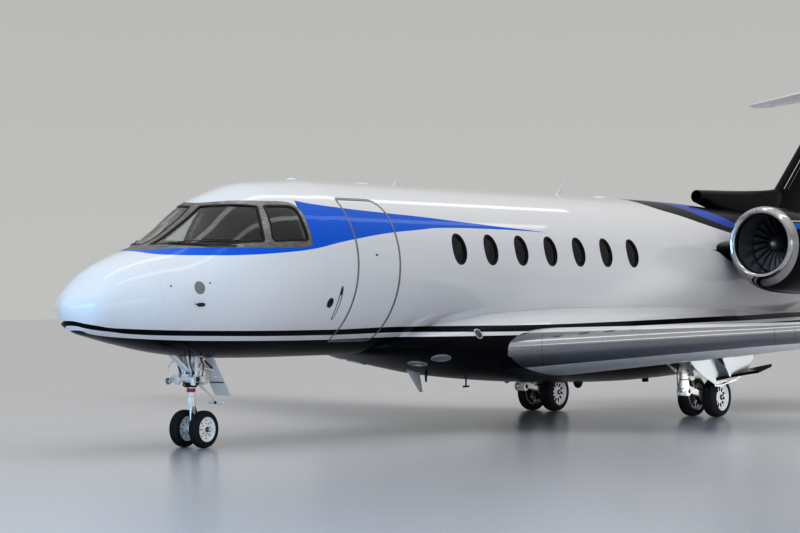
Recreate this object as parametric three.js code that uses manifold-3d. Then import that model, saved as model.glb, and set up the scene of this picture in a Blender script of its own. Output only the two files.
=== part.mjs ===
// Twin-engined business jet, parked on its landing gear with its door shut.
// Millimetres, +Z up. Stations run aft from the nose tip and +Y is starboard. The whole group is
// shifted forward by half the length, so its origin is on the ground midway along the aeroplane.
import * as THREE from 'three';
import { mergeVertices } from 'three/addons/utils/BufferGeometryUtils.js';
import Module from 'manifold-3d';

const wasm = await Module();
wasm.setup();

// Overall sizes
const LENGTH = 21100;
const HALF_SPAN = 9400;
const FIN_TOP = 5970;

// Gaps: between fixed pieces that touch, round moving pieces, and round the door
const FIT_GAP = 0.3;
const RUNNING_GAP = 8;
const DOOR_GAP = 6;
const DOOR_FOOT_GAP = 0.5;

// Walls
const WALL = 90;
const TAIL_WALL = 40;
const FRONT_BULKHEAD = 250;
const GLASS_DEPTH = 4;
const GLASS_THICKNESS = 20;
const GLASS_STRIP = { margin: 200, thickness: 8, halfHeight: 230, bossDepth: 6, gap: 0.5 };

// How far a cutter runs past the faces it cuts through
const CUT_OVERLAP = 1;

// Fuselage joints, as stations
const RADOME_END = 900;
const COCKPIT_END = 3740;
const FORWARD_CABIN_END = 5250;
const CABIN_END = 11900;
const TAIL_END = 19600;
const BULKHEAD = 100;
const TAIL_CONE = 700;
const HULL_SIDES = 20;
const NACELLE_SIDES = 18;

// Cabin windows
const WINDOW_COUNT = 7;
const WINDOW_FIRST = 6033;
const WINDOW_PITCH = 709;
const WINDOW_HEIGHT_Z = 2383;
const WINDOW_HALF_WIDTH = 158;
const WINDOW_HALF_HEIGHT = 203;
const WINDOW_SIDES = 12;

// Cockpit panes on the starboard side: corners on the skin, and the way each one faces
const PANES = [
  {
    name: 'windshield',
    corners: [
      [1265, 70, 2378], [1738, 641, 2357], [2375, 895, 2415],
      [2565, 615, 2847], [2264, 354, 2847], [2150, 65, 2842],
    ],
    direction: [-0.6, 0.45, 0.66],
  },
  {
    name: 'side_window',
    corners: [[2478, 918, 2418], [3050, 1004, 2440], [3085, 745, 2862], [2633, 635, 2855]],
    direction: [-0.05, 0.9, 0.42],
  },
];

// How far the cutters for the panes and the windows reach, and the inner edge of the window cutters
const PANE_REACH_IN = 260;
const PANE_REACH_OUT = 400;
const SIDE_CUT_INNER = 600;
const SIDE_CUT_OUTER = 1400;

// Entry door, on the port side, hinged along its lower outer edge and leaning aft at its top
const DOOR_FRONT = 3880;
const DOOR_REAR = 4690;
const DOOR_TOP_FRONT = 3920;
const DOOR_TOP_REAR = 4722;
const DOOR_HINGE_Z = 1250;
const DOOR_TOP_Z = 2965;
const DOOR_CUT_INNER = 200;
const DOOR_CUT_OUTER = 1500;
const DOOR_BAY_INNER = 450;
const DOOR_BAY_MARGIN = 20;

// Cabin floor and seats
const FLOOR_FRONT = 1500;
const FLOOR_TOP = 1360;
const FLOOR_THICKNESS = 80;
const ROOM_HALF_WIDTH = 1200;
const SEAT_WIDTH = 490;
const SEAT_INNER_Y = 350;
const CREW_SEAT = { front: 2560, width: 450, centreY: 430 };
const SEAT_LEG = { from: 120, to: 360, width: 150, top: 290, inset: 60 };
const CREW_RAIL = { front: 2700, rear: 2800, halfWidth: 560, height: 60 };
const CABIN_RAIL = { front: 6300, rear: 10150, inner: 440, outer: 500, height: 30 };

// A seat in side view. Columns: distance behind its front edge, height above the floor
const SEAT_OUTLINE = [[0, 280], [480, 280], [640, 1060], [520, 1060], [400, 430], [0, 430]];

// Cabin seats on one side. Columns: station of the front edge, facing forwards (1) or aft (-1)
const CABIN_SEATS = [[6900, -1], [7500, 1], [9000, -1], [9600, 1]];

// Cockpit
const PANEL = { front: 1800, rear: 2020, foot: 1900, top: 2290 };
const PEDESTAL = { front: 1900, rear: 2350, halfWidth: 150, top: 1950 };

// Engines
const ENGINE_Y = 1718;
const ENGINE_Z = 2560;
const INTAKE_FRONT = 12874;
const LIP_END = 13020;
const NACELLE_END = 16400;
const DUCT_RADIUS = 475;
const CORE_FRONT = 13760;
const CORE_SHOULDER = 15200;
const CORE_END = 16100;
const NOZZLE = { radius: 290, endRadius: 200, overlap: 10, sides: 20 };

// Fan: its hub from front to rear, the spinner ahead of it, the shaft behind it, and one blade
const FAN_STATION = 13480;
const FAN_BLADES = 16;
const FAN_HUB = { radius: 130, ahead: 40, behind: 160, sides: 16 };
const SPINNER = { length: 200, tipRadius: 8 };
const FAN_SHAFT = { radius: 60, overlap: 10, sides: 12 };
const FAN_BLADE = { chord: 150, thickness: 10, twist: 0.6, offset: 60, root: 20, tipGap: 18 };

// Landing gear
const NOSE_WHEEL_STATION = 2134;
const NOSE_LEG_STATION = 2084;
const NOSE_TYRE_RADIUS = 221;
const NOSE_TYRE_WIDTH = 130;
const NOSE_WHEEL_SPACING = 307;
const MAIN_WHEEL_STATION = 11725;
const MAIN_LEG_STATION = 11130;
const MAIN_LEG_Y = 1417.5;
const MAIN_TYRE_RADIUS = 291;
const MAIN_TYRE_WIDTH = 225;
const MAIN_WHEEL_SPACING = 405;
const AXLE_GAP = 0.3;
const WHEEL_SIDES = 20;

// Tyre section as shares of the tyre's radius and half width, from the bore outwards
const RIM_SHARE = 0.62;
const SHOULDER_SHARE = 0.88;
const BORE_HALF = 0.5;
const RIM_HALF = 0.85;
const TREAD_HALF = 0.55;

// Nose leg: tube radii, and the heights where one tube meets the next
const NOSE_HEAD = { halfLength: 110, halfWidth: 95, foot: 830, top: 1200 };
const NOSE_STRUT = { radius: 62, top: 900 };
const NOSE_BRACE = { ahead: 40, footAt: 900, run: 420, topAt: 1200, radius: 30, sides: 8 };
const NOSE_COLLAR_Z = 600;
const NOSE_SLEEVE = { radius: 70, foot: 500 };
const NOSE_PISTON = { radius: 42, foot: 250, top: 520, sides: 12 };
const NOSE_CROSSHEAD = { ahead: 45, behind: 35, halfWidth: 55, below: 40, above: 60 };
const NOSE_AXLE_RADIUS = 28;
const NOSE_DOOR = [[2310, 1080], [2635, 590], [2675, 610], [2350, 1080]];
const NOSE_DOOR_HALF_WIDTH = 130;
const LEG_SIDES = 16;

// Main leg: its strut, the pivot barrel at its foot, and the brace up to the fuselage
const MAIN_STRUT = { radius: 72, foot: 440, top: 1100 };
const MAIN_PIVOT = { radius: 80, z: 420, halfWidth: 95 };
const MAIN_BRACE = { start: [-20, -60, 640], end: [-60, -420, 900], radius: 26, sides: 8 };

// Trailing arm and its shock strut, measured from the leg's foot and from the axle
const ARM = { clear: 82, top: 480, foot: 340, halfWidth: 55 };
const ARM_AXLE_END = [[-40, -50], [60, -20], [60, 50], [-60, 75]];
const MAIN_AXLE_RADIUS = 38;
const SHOCK = { ahead: 250, rise: 60, clear: 95, top: 850, radius: 34, sides: 10 };

// Leg door, as stations and heights: a plate beside the wheels, a lip that turns outboard, a web
const LEG_DOOR_Y = 1745;
const LEG_DOOR_THICKNESS = 22;
const LEG_DOOR_PLATE = [[10665, 860], [10982, 657], [11514, 459], [11995, 600], [11404, 900]];
const LIP_FRONT = 11350;
const LIP_REAR = 11950;
const LIP_OUTER_Y = 2480;
const LIP_RISE = 160;
const LIP_FOOT = { front: 515, rear: 602 };
const WEB_Y = 2000;
const LEG_DOOR_WEB = [[11180, 900], [12170, 950], [11960, 700], [11420, 600]];
const DOOR_ARM = { heights: [720, 600], radius: 18, inset: 60, bite: 5, sides: 8 };

// Fuselage outline. Columns: station, crown height, keel height, half width, height of widest point
const HULL = [
  [0, 1657, 1657, 0, 1657],
  [60, 1762, 1504, 156, 1663],
  [200, 1896, 1381, 351, 1676],
  [500, 2122, 1305, 493, 1704],
  [900, 2282, 1224, 649, 1741],
  [1400, 2419, 1137, 789, 1811],
  [1900, 2682, 1081, 907, 1887],
  [2400, 3000, 1049, 1006, 1963],
  [2900, 3149, 1040, 1061, 2040],
  [3400, 3197, 1036, 1086, 2116],
  [4000, 3228, 1036, 1095, 2131],
  [11700, 3228, 1036, 1095, 2131],
  [11900, 3227, 1038, 1093, 2134],
  [13000, 3212, 1060, 1075, 2160],
  [14000, 3174, 1100, 1000, 2220],
  [15500, 3140, 1160, 880, 2330],
  [17000, 3100, 1420, 720, 2480],
  [18500, 3060, 2000, 440, 2700],
  [19600, 3010, 2600, 170, 2830],
];

// Belly fairing, with the same columns
const BELLY = [
  [4900, 1260, 1060, 200, 1120],
  [5300, 1450, 985, 800, 1130],
  [5800, 1560, 890, 1050, 1130],
  [6400, 1690, 790, 1160, 1100],
  [7100, 1810, 690, 1250, 1050],
  [9000, 1895, 560, 1320, 1000],
  [11100, 1905, 507, 1320, 980],
  [12400, 1908, 530, 1220, 1020],
  [13500, 1878, 640, 1080, 1100],
  [14600, 1660, 900, 980, 1200],
  [15800, 1560, 1080, 860, 1320],
  [17000, 1620, 1330, 620, 1440],
  [18200, 2080, 1990, 160, 2030],
];

// Nacelle outline round its own centre plane, with the same columns
const NACELLE = [
  [12874, 3062, 2058, 502, 2560],
  [12900, 3094, 2012, 538, 2560],
  [13020, 3122, 1914, 580, 2545],
  [13400, 3112, 1826, 632, 2500],
  [14200, 3078, 1795, 660, 2480],
  [15000, 3030, 1850, 640, 2490],
  [15800, 2975, 2020, 540, 2530],
  [16400, 2960, 2150, 410, 2560],
];

// Intake throat, with the same columns
const THROAT = [
  [12873, 3063, 2057, 503, 2560],
  [12890, 3024, 2096, 464, 2560],
  [12950, 2996, 2124, 436, 2560],
  [13021, 3002, 2118, 442, 2560],
];

// Engine duct, with the same columns
const DUCT = [
  [13019, 3002, 2118, 442, 2560],
  [13400, 3035, 2085, 475, 2560],
  [15300, 3035, 2085, 475, 2560],
  [16401, 2925, 2185, 375, 2560],
];

// Wing. Columns: distance from the centre plane, leading edge station, chord, leading edge height,
// trailing edge height, thickness as a share of the chord
const WING = [
  [950, 6720, 5030, 1049, 925, 0.130],
  [4000, 8550, 3200, 1267, 1207, 0.112],
  [9200, 11670, 1300, 1640, 1640, 0.100],
  [HALF_SPAN, 11890, 1000, 1654, 1654, 0.085],
];

// Horizontal tail, with the same columns
const STABILISER = [
  [40, 18900, 1880, 5463, 5463, 0.095],
  [2450, 20355, 740, 5323, 5323, 0.095],
  [2600, 20500, 600, 5314, 5314, 0.080],
];

// Engine pylon, with the same columns
const PYLON = [
  [600, 12450, 3700, 2470, 2520, 0.075],
  [1300, 13000, 3050, 2500, 2540, 0.085],
];

// Fin. Columns: height, leading edge station, chord, thickness as a share of the chord
const FIN = [
  [2900, 15900, 3590, 0.095],
  [3550, 16640, 3180, 0.105],
  [5850, 19296, 1674, 0.100],
  [FIN_TOP, 19490, 1530, 0.080],
];

// Dorsal inlet pipe, with the columns of the fuselage outline
const DORSAL = [
  [13980, 3445, 3245, 98, 3345],
  [14180, 3452, 3200, 104, 3345],
  [15200, 3475, 2980, 110, 3345],
  [16400, 3530, 2900, 120, 3350],
  [16900, 3600, 2900, 90, 3350],
];
const DORSAL_MOUTH_RADIUS = 78;
const DORSAL_MOUTH_DEPTH = 400;
const DORSAL_MOUTH_Z = 3345;
const DORSAL_SIDES = 16;

// How much the leading edge band's cut and the room round the fin clear them
const BAND_GAP_SHARE = 0.0002;
const FIN_ROOM = { ahead: 1, chord: 2, thickness: 0.001 };

// Control surfaces: where each hinge line starts and ends along the span, its share of the chord,
// its pin's radius, and how far past its ends the cutting shape runs
const BAND_SHARE = 0.085;
const FLAP = { from: 2800, to: 6150, share: 0.76, pin: 14, spread: 320 };
const AILERON = { from: 6400, to: 8900, share: 0.76, pin: 12, spread: 320 };
const ELEVATOR = { from: 400, to: 2400, share: 0.68, pin: 7, spread: 320 };
const RUDDER = { from: 3740, to: 5080, share: 0.68, pin: 14, spread: 700 };
const HINGE_PIN_LENGTH = 40;
const HINGE_PIN_ROOT = 20;
const HINGE_BORE_ROOM = 4;
const COVE_TAIL = 400;
const WEDGE_TAIL_GROWTH = 4;
const END_BLOCK = 4000;
const PIN_SIDES = 12;
const SKIN_STEP = 2;
const NOSE_STEP = 8;
const COVE_ROOM = 1.12;
const COVE_GAP = 8;
const NOSE_SIDES = 16;

const CHORD_STEPS = [0, 0.015, 0.07, 0.2, 0.4, 0.7, 1];
const TRAILING_EDGE_HALF = 3;

// Coefficients of the streamlined section's half thickness, from its nose back
const SECTION = { root: 1.4845, first: 0.63, second: 1.758, third: 1.4215, fourth: 0.518 };

// Colours
const PAINT = {
  white: { color: 0xf1f1f2, roughness: 0.25, metalness: 0 },
  black: { color: 0x0b0b0d, roughness: 0.15, metalness: 0 },
  silver: { color: 0xb9bcc1, roughness: 0.25, metalness: 1 },
  grey: { color: 0x9a9da1, roughness: 0.4, metalness: 0.1 },
  gear: { color: 0xe8e9e6, roughness: 0.35, metalness: 0.1 },
  glass: { color: 0x1b2024, roughness: 0.05, metalness: 0 },
  rubber: { color: 0x121214, roughness: 0.8, metalness: 0 },
  leather: { color: 0xd8cbb4, roughness: 0.6, metalness: 0 },
  trim: { color: 0x3b3a38, roughness: 0.7, metalness: 0 },
  steel: { color: 0x55585c, roughness: 0.4, metalness: 0.9 },
};

const aeroplane = new THREE.Group();
aeroplane.position.x = -LENGTH / 2;

// Adds a named piece in one of the finishes.
function addPiece(name, solid, paint) {
  const mesh = new THREE.Mesh(geometryOf(solid), new THREE.MeshStandardMaterial(PAINT[paint]));
  mesh.name = name;
  aeroplane.add(mesh);
}

function geometryOf(solid) {
  const { vertProperties, triVerts } = solid.getMesh();
  const geometry = new THREE.BufferGeometry();
  geometry.setAttribute('position', new THREE.BufferAttribute(vertProperties, 3));
  geometry.setIndex(new THREE.BufferAttribute(triVerts, 1));
  return geometry;
}

function solidOf(source) {
  const bare = source.clone();
  bare.deleteAttribute('normal');
  bare.deleteAttribute('uv');
  const merged = mergeVertices(bare);
  return new wasm.Manifold(new wasm.Mesh({
    numProp: 3,
    vertProperties: new Float32Array(merged.attributes.position.array),
    triVerts: new Uint32Array(merged.index.array),
  }));
}

// A point inside the ring, which its end cap fans out from.
function middleOf(ring) {
  const sum = ring.reduce((total, p) => total.map((value, i) => value + p[i]), [0, 0, 0]);
  return sum.map((value) => value / ring.length);
}

// A closed solid through rings of points with the same count in each. Its faces in the second half
// of the rings are split along the other diagonal, which keeps the two sides of a body alike.
function loft(rings) {
  const sides = rings[0].length;
  const points = rings.flat();
  const faces = [];
  for (let r = 0; r + 1 < rings.length; r += 1) {
    for (let s = 0; s < sides; s += 1) {
      const a = r * sides + s;
      const b = r * sides + ((s + 1) % sides);
      if (s >= Math.floor(sides / 2)) {
        faces.push([a, b, a + sides], [b, b + sides, a + sides]);
      } else {
        faces.push([a, b, b + sides], [a, b + sides, a + sides]);
      }
    }
  }
  const last = (rings.length - 1) * sides;
  points.push(middleOf(rings[0]), middleOf(rings[rings.length - 1]));
  for (let s = 0; s < sides; s += 1) {
    const next = (s + 1) % sides;
    faces.push([points.length - 2, next, s], [points.length - 1, last + s, last + next]);
  }
  const outward = volumeOf(points, faces) > 0;
  const geometry = new THREE.BufferGeometry();
  geometry.setAttribute('position', new THREE.Float32BufferAttribute(points.flat(), 3));
  geometry.setIndex(faces.flatMap(([a, b, c]) => (outward ? [a, b, c] : [a, c, b])));
  return solidOf(withoutSlivers(geometry));
}

function volumeOf(points, faces) {
  let sum = 0;
  for (const [a, b, c] of faces) {
    const [p, q, r] = [points[a], points[b], points[c]];
    sum += p[0] * (q[1] * r[2] - q[2] * r[1]) - p[1] * (q[0] * r[2] - q[2] * r[0])
      + p[2] * (q[0] * r[1] - q[1] * r[0]);
  }
  return sum;
}

// Merges equal points and drops the triangles that then have two corners alike.
function withoutSlivers(source) {
  const merged = mergeVertices(source);
  const index = Array.from(merged.index.array);
  const kept = [];
  for (let i = 0; i < index.length; i += 3) {
    const [a, b, c] = index.slice(i, i + 3);
    if (a !== b && b !== c && c !== a) {
      kept.push(a, b, c);
    }
  }
  merged.setIndex(kept);
  return merged;
}

// The values of a table at a station, in a straight line between its rows.
function rowAt(table, station) {
  const found = table.findIndex((row) => row[0] >= station);
  const next = found < 0 ? table.length - 1 : Math.max(found, 1);
  const [low, high] = [table[next - 1], table[next]];
  const share = (station - low[0]) / (high[0] - low[0]);
  return low.map((value, i) => value + share * (high[i] - value));
}

function stationsOf(table, from, to) {
  return [from, ...table.map((row) => row[0]).filter((x) => x > from && x < to), to];
}

// A ring made of half ellipses above and below the widest point, starting at the keel.
function eggRing([station, top, bottom, half, widest], inset, centreY, sides) {
  return Array.from({ length: sides }, (_, i) => {
    const angle = (2 * Math.PI * i) / sides - Math.PI / 2;
    const rise = Math.sin(angle) >= 0 ? top - widest - inset : widest - bottom - inset;
    return [
      station,
      centreY + Math.max(half - inset, 0) * Math.cos(angle),
      widest + Math.max(rise, 0) * Math.sin(angle),
    ];
  });
}

// A body through a table's rows between two stations, inset by a depth below its skin.
function tube(table, from, to, inset = 0, centreY = 0, sides = HULL_SIDES) {
  const rings = stationsOf(table, from, to);
  return loft(rings.map((x) => eggRing(rowAt(table, x), inset, centreY, sides)));
}

function box(x0, x1, y0, y1, z0, z1) {
  const geometry = new THREE.BoxGeometry(x1 - x0, y1 - y0, z1 - z0);
  geometry.translate((x0 + x1) / 2, (y0 + y1) / 2, (z0 + z1) / 2);
  return solidOf(geometry);
}

// A round bar between two points, with a second radius at its end where it tapers.
function bar(start, end, radius, sides = 12, endRadius = radius) {
  const axis = new THREE.Vector3(...end).sub(new THREE.Vector3(...start));
  const geometry = new THREE.CylinderGeometry(endRadius, radius, axis.length(), sides);
  geometry.translate(0, axis.length() / 2, 0);
  const turn = new THREE.Quaternion().setFromUnitVectors(
    new THREE.Vector3(0, 1, 0),
    axis.clone().normalize(),
  );
  geometry.applyQuaternion(turn);
  geometry.translate(...start);
  return solidOf(geometry);
}

// A flat plate: an outline in x and z, with its thickness across y.
function platesFrom(outline, y0, y1) {
  const shape = new THREE.Shape(outline.map(([x, z]) => new THREE.Vector2(x, z)));
  const geometry = new THREE.ExtrudeGeometry(shape, { depth: y1 - y0, bevelEnabled: false });
  geometry.rotateX(Math.PI / 2);
  geometry.translate(0, y1, 0);
  return solidOf(geometry);
}

function joined(solids) {
  return solids.reduce((all, solid) => all.add(solid));
}

function mirrored(solid) {
  return solid.mirror([0, 1, 0]);
}

// Adds a starboard piece and its mirror image on the port side.
function addPair(name, starboard, paint) {
  addPiece(`starboard_${name}`, starboard, paint);
  addPiece(`port_${name}`, mirrored(starboard), paint);
}

// Fuselage

function shell(from, to, innerFrom, innerTo, wall) {
  const outer = tube(HULL, from + FIT_GAP / 2, to - FIT_GAP / 2);
  return outer.subtract(tube(HULL, innerFrom, innerTo, wall));
}

// A layer of the fuselage wall, from one depth below the skin to another.
function wallLayer(from, to, outerDepth, innerDepth) {
  const inner = tube(HULL, from - CUT_OVERLAP, to + CUT_OVERLAP, innerDepth);
  return tube(HULL, from, to, outerDepth).subtract(inner);
}

// A straight-sided cutter through the corners of a pane, pushed both ways along a direction and inset.
function paneCutter(corners, direction, inset) {
  const along = new THREE.Vector3(...direction).normalize();
  const points = corners.map((corner) => new THREE.Vector3(...corner));
  const middle = points.reduce((sum, p) => sum.add(p), new THREE.Vector3()).divideScalar(points.length);
  const ring = (reach) => points.map((point) => {
    const inwards = middle.clone().sub(point).setLength(inset);
    return point.clone().add(inwards).addScaledVector(along, reach).toArray();
  });
  return loft([ring(-PANE_REACH_IN), ring(PANE_REACH_OUT)]);
}

function windowCutter(index, inset) {
  const centre = WINDOW_FIRST + index * WINDOW_PITCH;
  const outline = Array.from({ length: WINDOW_SIDES }, (_, i) => {
    const angle = (2 * Math.PI * i) / WINDOW_SIDES;
    return [
      centre + (WINDOW_HALF_WIDTH - inset) * Math.cos(angle),
      WINDOW_HEIGHT_Z + (WINDOW_HALF_HEIGHT - inset) * Math.sin(angle),
    ];
  });
  return platesFrom(outline, SIDE_CUT_INNER, SIDE_CUT_OUTER);
}

function cabinWindows(inset) {
  return joined(Array.from({ length: WINDOW_COUNT }, (_, i) => windowCutter(i, inset)));
}

// A cutter with the door's outline, grown by a gap all round but not below its foot.
function doorCutter(grow, foot) {
  const outline = [
    [DOOR_FRONT - grow, foot],
    [DOOR_REAR + grow, foot],
    [DOOR_TOP_REAR + grow, DOOR_TOP_Z + grow],
    [DOOR_TOP_FRONT - grow, DOOR_TOP_Z + grow],
  ];
  return platesFrom(outline, -DOOR_CUT_OUTER, -DOOR_CUT_INNER);
}

function addFuselage() {
  addPiece('radome', tube(HULL, 0, RADOME_END - FIT_GAP / 2), 'white');

  const cockpitFront = RADOME_END + FRONT_BULKHEAD;
  let cockpit = shell(RADOME_END, COCKPIT_END, cockpitFront, COCKPIT_END + CUT_OVERLAP, WALL);
  for (const pane of PANES) {
    const cutter = paneCutter(pane.corners, pane.direction, 0);
    const glass = wallLayer(RADOME_END, COCKPIT_END, GLASS_DEPTH, GLASS_DEPTH + GLASS_THICKNESS)
      .intersect(paneCutter(pane.corners, pane.direction, FIT_GAP * 2));
    cockpit = cockpit.subtract(cutter).subtract(mirrored(cutter));
    addPair(pane.name, glass, 'glass');
  }
  addPiece('cockpit_section', cockpit, 'white');

  const [front, middle] = [COCKPIT_END - CUT_OVERLAP, FORWARD_CABIN_END - CUT_OVERLAP];
  const forward = shell(COCKPIT_END, FORWARD_CABIN_END, front, FORWARD_CABIN_END + CUT_OVERLAP, WALL);
  addPiece('forward_cabin_section', forward.subtract(doorCutter(DOOR_GAP, DOOR_HINGE_Z)), 'white');

  const cabin = shell(FORWARD_CABIN_END, CABIN_END, middle, CABIN_END - BULKHEAD, WALL);
  const holes = cabinWindows(0);
  addPiece('cabin_section', cabin.subtract(holes).subtract(mirrored(holes)), 'white');
  addPair('cabin_windows', cabinWindowGlass(), 'glass');

  const tail = shell(CABIN_END, TAIL_END, CABIN_END - CUT_OVERLAP, TAIL_END - TAIL_CONE, TAIL_WALL);
  addPiece('tail_section', tail, 'black');
}

// The glass of one side as one piece: a strip inside the wall with a boss in each window.
function cabinWindowGlass() {
  const last = WINDOW_FIRST + (WINDOW_COUNT - 1) * WINDOW_PITCH;
  const ends = [WINDOW_FIRST - GLASS_STRIP.margin, last + GLASS_STRIP.margin];
  const layer = wallLayer(...ends, WALL + FIT_GAP, WALL + GLASS_STRIP.thickness);
  const strip = layer.intersect(box(
    ...ends,
    SIDE_CUT_INNER,
    SIDE_CUT_OUTER,
    WINDOW_HEIGHT_Z - GLASS_STRIP.halfHeight,
    WINDOW_HEIGHT_Z + GLASS_STRIP.halfHeight,
  ));
  const bosses = wallLayer(...ends, GLASS_THICKNESS, WALL + GLASS_STRIP.bossDepth);
  return strip.add(bosses.intersect(cabinWindows(GLASS_STRIP.gap)));
}

function addDoor() {
  const wall = wallLayer(DOOR_FRONT, DOOR_TOP_REAR, 0, WALL);
  addPiece('entry_door', wall.intersect(doorCutter(0, DOOR_HINGE_Z + DOOR_FOOT_GAP)), 'white');
}

// The belly fairing's body before it is cut to the fuselage.
function fairingBody(inset) {
  return tube(BELLY, BELLY[0][0], BELLY[BELLY.length - 1][0], inset);
}

function addBelly() {
  const hull = tube(HULL, RADOME_END, TAIL_END, -FIT_GAP);
  addPiece('belly_fairing', largestPiece(fairingBody(0).subtract(hull)), 'black');
}

// Cabin

function addCabin() {
  const front = RADOME_END + FRONT_BULKHEAD + FIT_GAP;
  const room = tube(HULL, front, CABIN_END - BULKHEAD - FIT_GAP, WALL + FIT_GAP);
  const across = [-ROOM_HALF_WIDTH, ROOM_HALF_WIDTH];
  const floor = room.intersect(
    box(FLOOR_FRONT, CABIN_END, ...across, FLOOR_TOP - FLOOR_THICKNESS, FLOOR_TOP),
  );
  const doorBay = box(
    DOOR_FRONT - DOOR_BAY_MARGIN,
    DOOR_REAR + DOOR_BAY_MARGIN,
    -ROOM_HALF_WIDTH,
    -DOOR_BAY_INNER,
    FLOOR_TOP - 2 * FLOOR_THICKNESS,
    FLOOR_TOP + FLOOR_THICKNESS,
  );
  addPiece('cabin_floor', floor.subtract(doorBay), 'trim');

  const panel = room.intersect(box(PANEL.front, PANEL.rear, ...across, PANEL.foot, PANEL.top));
  const pedestal = box(
    PEDESTAL.front,
    PEDESTAL.rear,
    -PEDESTAL.halfWidth,
    PEDESTAL.halfWidth,
    FLOOR_TOP + FIT_GAP,
    PEDESTAL.top,
  );
  addPiece('instrument_panel', panel.add(pedestal), 'trim');

  const crewSeats = [-1, 1].map((side) => {
    const inner = side * CREW_SEAT.centreY - CREW_SEAT.width / 2;
    return seat(CREW_SEAT.front, inner, CREW_SEAT.width, 1);
  });
  const crewRail = box(
    CREW_RAIL.front,
    CREW_RAIL.rear,
    -CREW_RAIL.halfWidth,
    CREW_RAIL.halfWidth,
    FLOOR_TOP + FIT_GAP,
    FLOOR_TOP + CREW_RAIL.height,
  );
  addPiece('cockpit_seats', joined([...crewSeats, crewRail]), 'leather');

  addPair('cabin_seats', seatRow(), 'leather');
}

// A seat in side view, facing forwards (1) or aft (-1) from its front edge.
function seat(front, y0, width, facing) {
  const outline = SEAT_OUTLINE.map(([back, up]) => [front + facing * back, FLOOR_TOP + up]);
  const body = platesFrom(facing > 0 ? outline : outline.reverse(), y0, y0 + width);
  const legFront = Math.min(front + facing * SEAT_LEG.from, front + facing * SEAT_LEG.to);
  const farSide = width - SEAT_LEG.inset - SEAT_LEG.width;
  const legY = y0 + (y0 > 0 ? SEAT_LEG.inset : farSide);
  const leg = box(
    legFront,
    legFront + SEAT_LEG.to - SEAT_LEG.from,
    legY,
    legY + SEAT_LEG.width,
    FLOOR_TOP + FIT_GAP,
    FLOOR_TOP + SEAT_LEG.top,
  );
  return body.add(leg);
}

// Four club seats in facing pairs, on one rail.
function seatRow() {
  const seats = CABIN_SEATS.map(([front, facing]) => seat(front, SEAT_INNER_Y, SEAT_WIDTH, facing));
  const rail = box(
    CABIN_RAIL.front,
    CABIN_RAIL.rear,
    CABIN_RAIL.inner,
    CABIN_RAIL.outer,
    FLOOR_TOP + FIT_GAP,
    FLOOR_TOP + CABIN_RAIL.height,
  );
  return joined([...seats, rail]);
}

// Lifting surfaces

// Half thickness of a streamlined section of unit chord and unit thickness.
function halfThickness(share) {
  const { root, first, second, third, fourth } = SECTION;
  const curve = root * Math.sqrt(share) - first * share - second * share ** 2
    + third * share ** 3 - fourth * share ** 4;
  return Math.max(curve, 0);
}

// A section outline from one share of the chord to another: pairs of station and height.
function sectionOutline(chord, thickness, from, to) {
  const shares = [from, ...CHORD_STEPS.filter((s) => s > from && s < to), to];
  const upper = shares.map((share) => {
    const half = halfThickness(share) * thickness * chord + share * TRAILING_EDGE_HALF;
    return [share * chord, half];
  });
  const lower = upper.map(([x, half]) => [x, -half]);
  return from === 0 ? [...upper.slice().reverse(), ...lower.slice(1)] : [...upper.reverse(), ...lower];
}

function wingRing([y, leading, chord, leadingZ, trailingZ, thickness], from, to) {
  return sectionOutline(chord, thickness, from, to).map(([x, half]) => {
    const chordZ = leadingZ + (trailingZ - leadingZ) * (x / chord);
    return [leading + x, y, chordZ + half];
  });
}

function finRing([z, leading, chord, thickness], from, to) {
  return sectionOutline(chord, thickness, from, to).map(([x, half]) => [leading + x, half, z]);
}

function surface(table, ring, from, to) {
  return loft(table.map((row) => ring(row, from, to)));
}

// The hinge point of a surface at one distance along its span, with the local half thickness.
function hingePoint(table, span, share) {
  const row = rowAt(table, span);
  const isFin = row.length === 4;
  const [leading, chord, thickness] = [row[1], row[2], row[row.length - 1]];
  const half = halfThickness(share) * thickness * chord;
  const x = leading + share * chord;
  const z = isFin ? span : row[3] + (row[4] - row[3]) * share;
  return { at: new THREE.Vector3(x, isFin ? 0 : span, z), half, row, isFin };
}

// One section of the wedge behind the hinge line, from the hinge to the trailing edge.
function wedgeRing({ at, half, row, isFin }, grow, tailGrow) {
  const noseHalf = half - SKIN_STEP + grow;
  const tailX = row[1] + row[2] + tailGrow - at.x;
  const tailHalf = TRAILING_EDGE_HALF + grow * WEDGE_TAIL_GROWTH;
  const tailZ = isFin ? 0 : row[4] - at.z;
  const outline = [
    [0, noseHalf], [0, -noseHalf], [tailX, tailZ - tailHalf], [tailX, tailZ + tailHalf],
  ];
  return outline.map(([x, h]) => (isFin ? [at.x + x, h, at.z] : [at.x + x, at.y, at.z + h]));
}

// A hinged surface, or with grow the room it turns in: a wedge with a round nose on the hinge line.
function hingedBody(sections, grow, tailGrow) {
  const [first, last] = [sections[0], sections[sections.length - 1]];
  const radius = ({ half }) => (grow > 0 ? half * COVE_ROOM + COVE_GAP : half - NOSE_STEP);
  const nose = bar(first.at.toArray(), last.at.toArray(), radius(first), NOSE_SIDES, radius(last));
  return loft(sections.map((section) => wedgeRing(section, grow, tailGrow))).add(nose);
}

// A half space beyond a point, square to the hinge line, as a big block.
function endBlock(point, along, sign) {
  const geometry = new THREE.BoxGeometry(END_BLOCK, END_BLOCK, END_BLOCK);
  geometry.translate(0, (sign * END_BLOCK) / 2, 0);
  geometry.applyQuaternion(
    new THREE.Quaternion().setFromUnitVectors(new THREE.Vector3(0, 1, 0), along),
  );
  geometry.translate(point.x, point.y, point.z);
  return solidOf(geometry);
}

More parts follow.
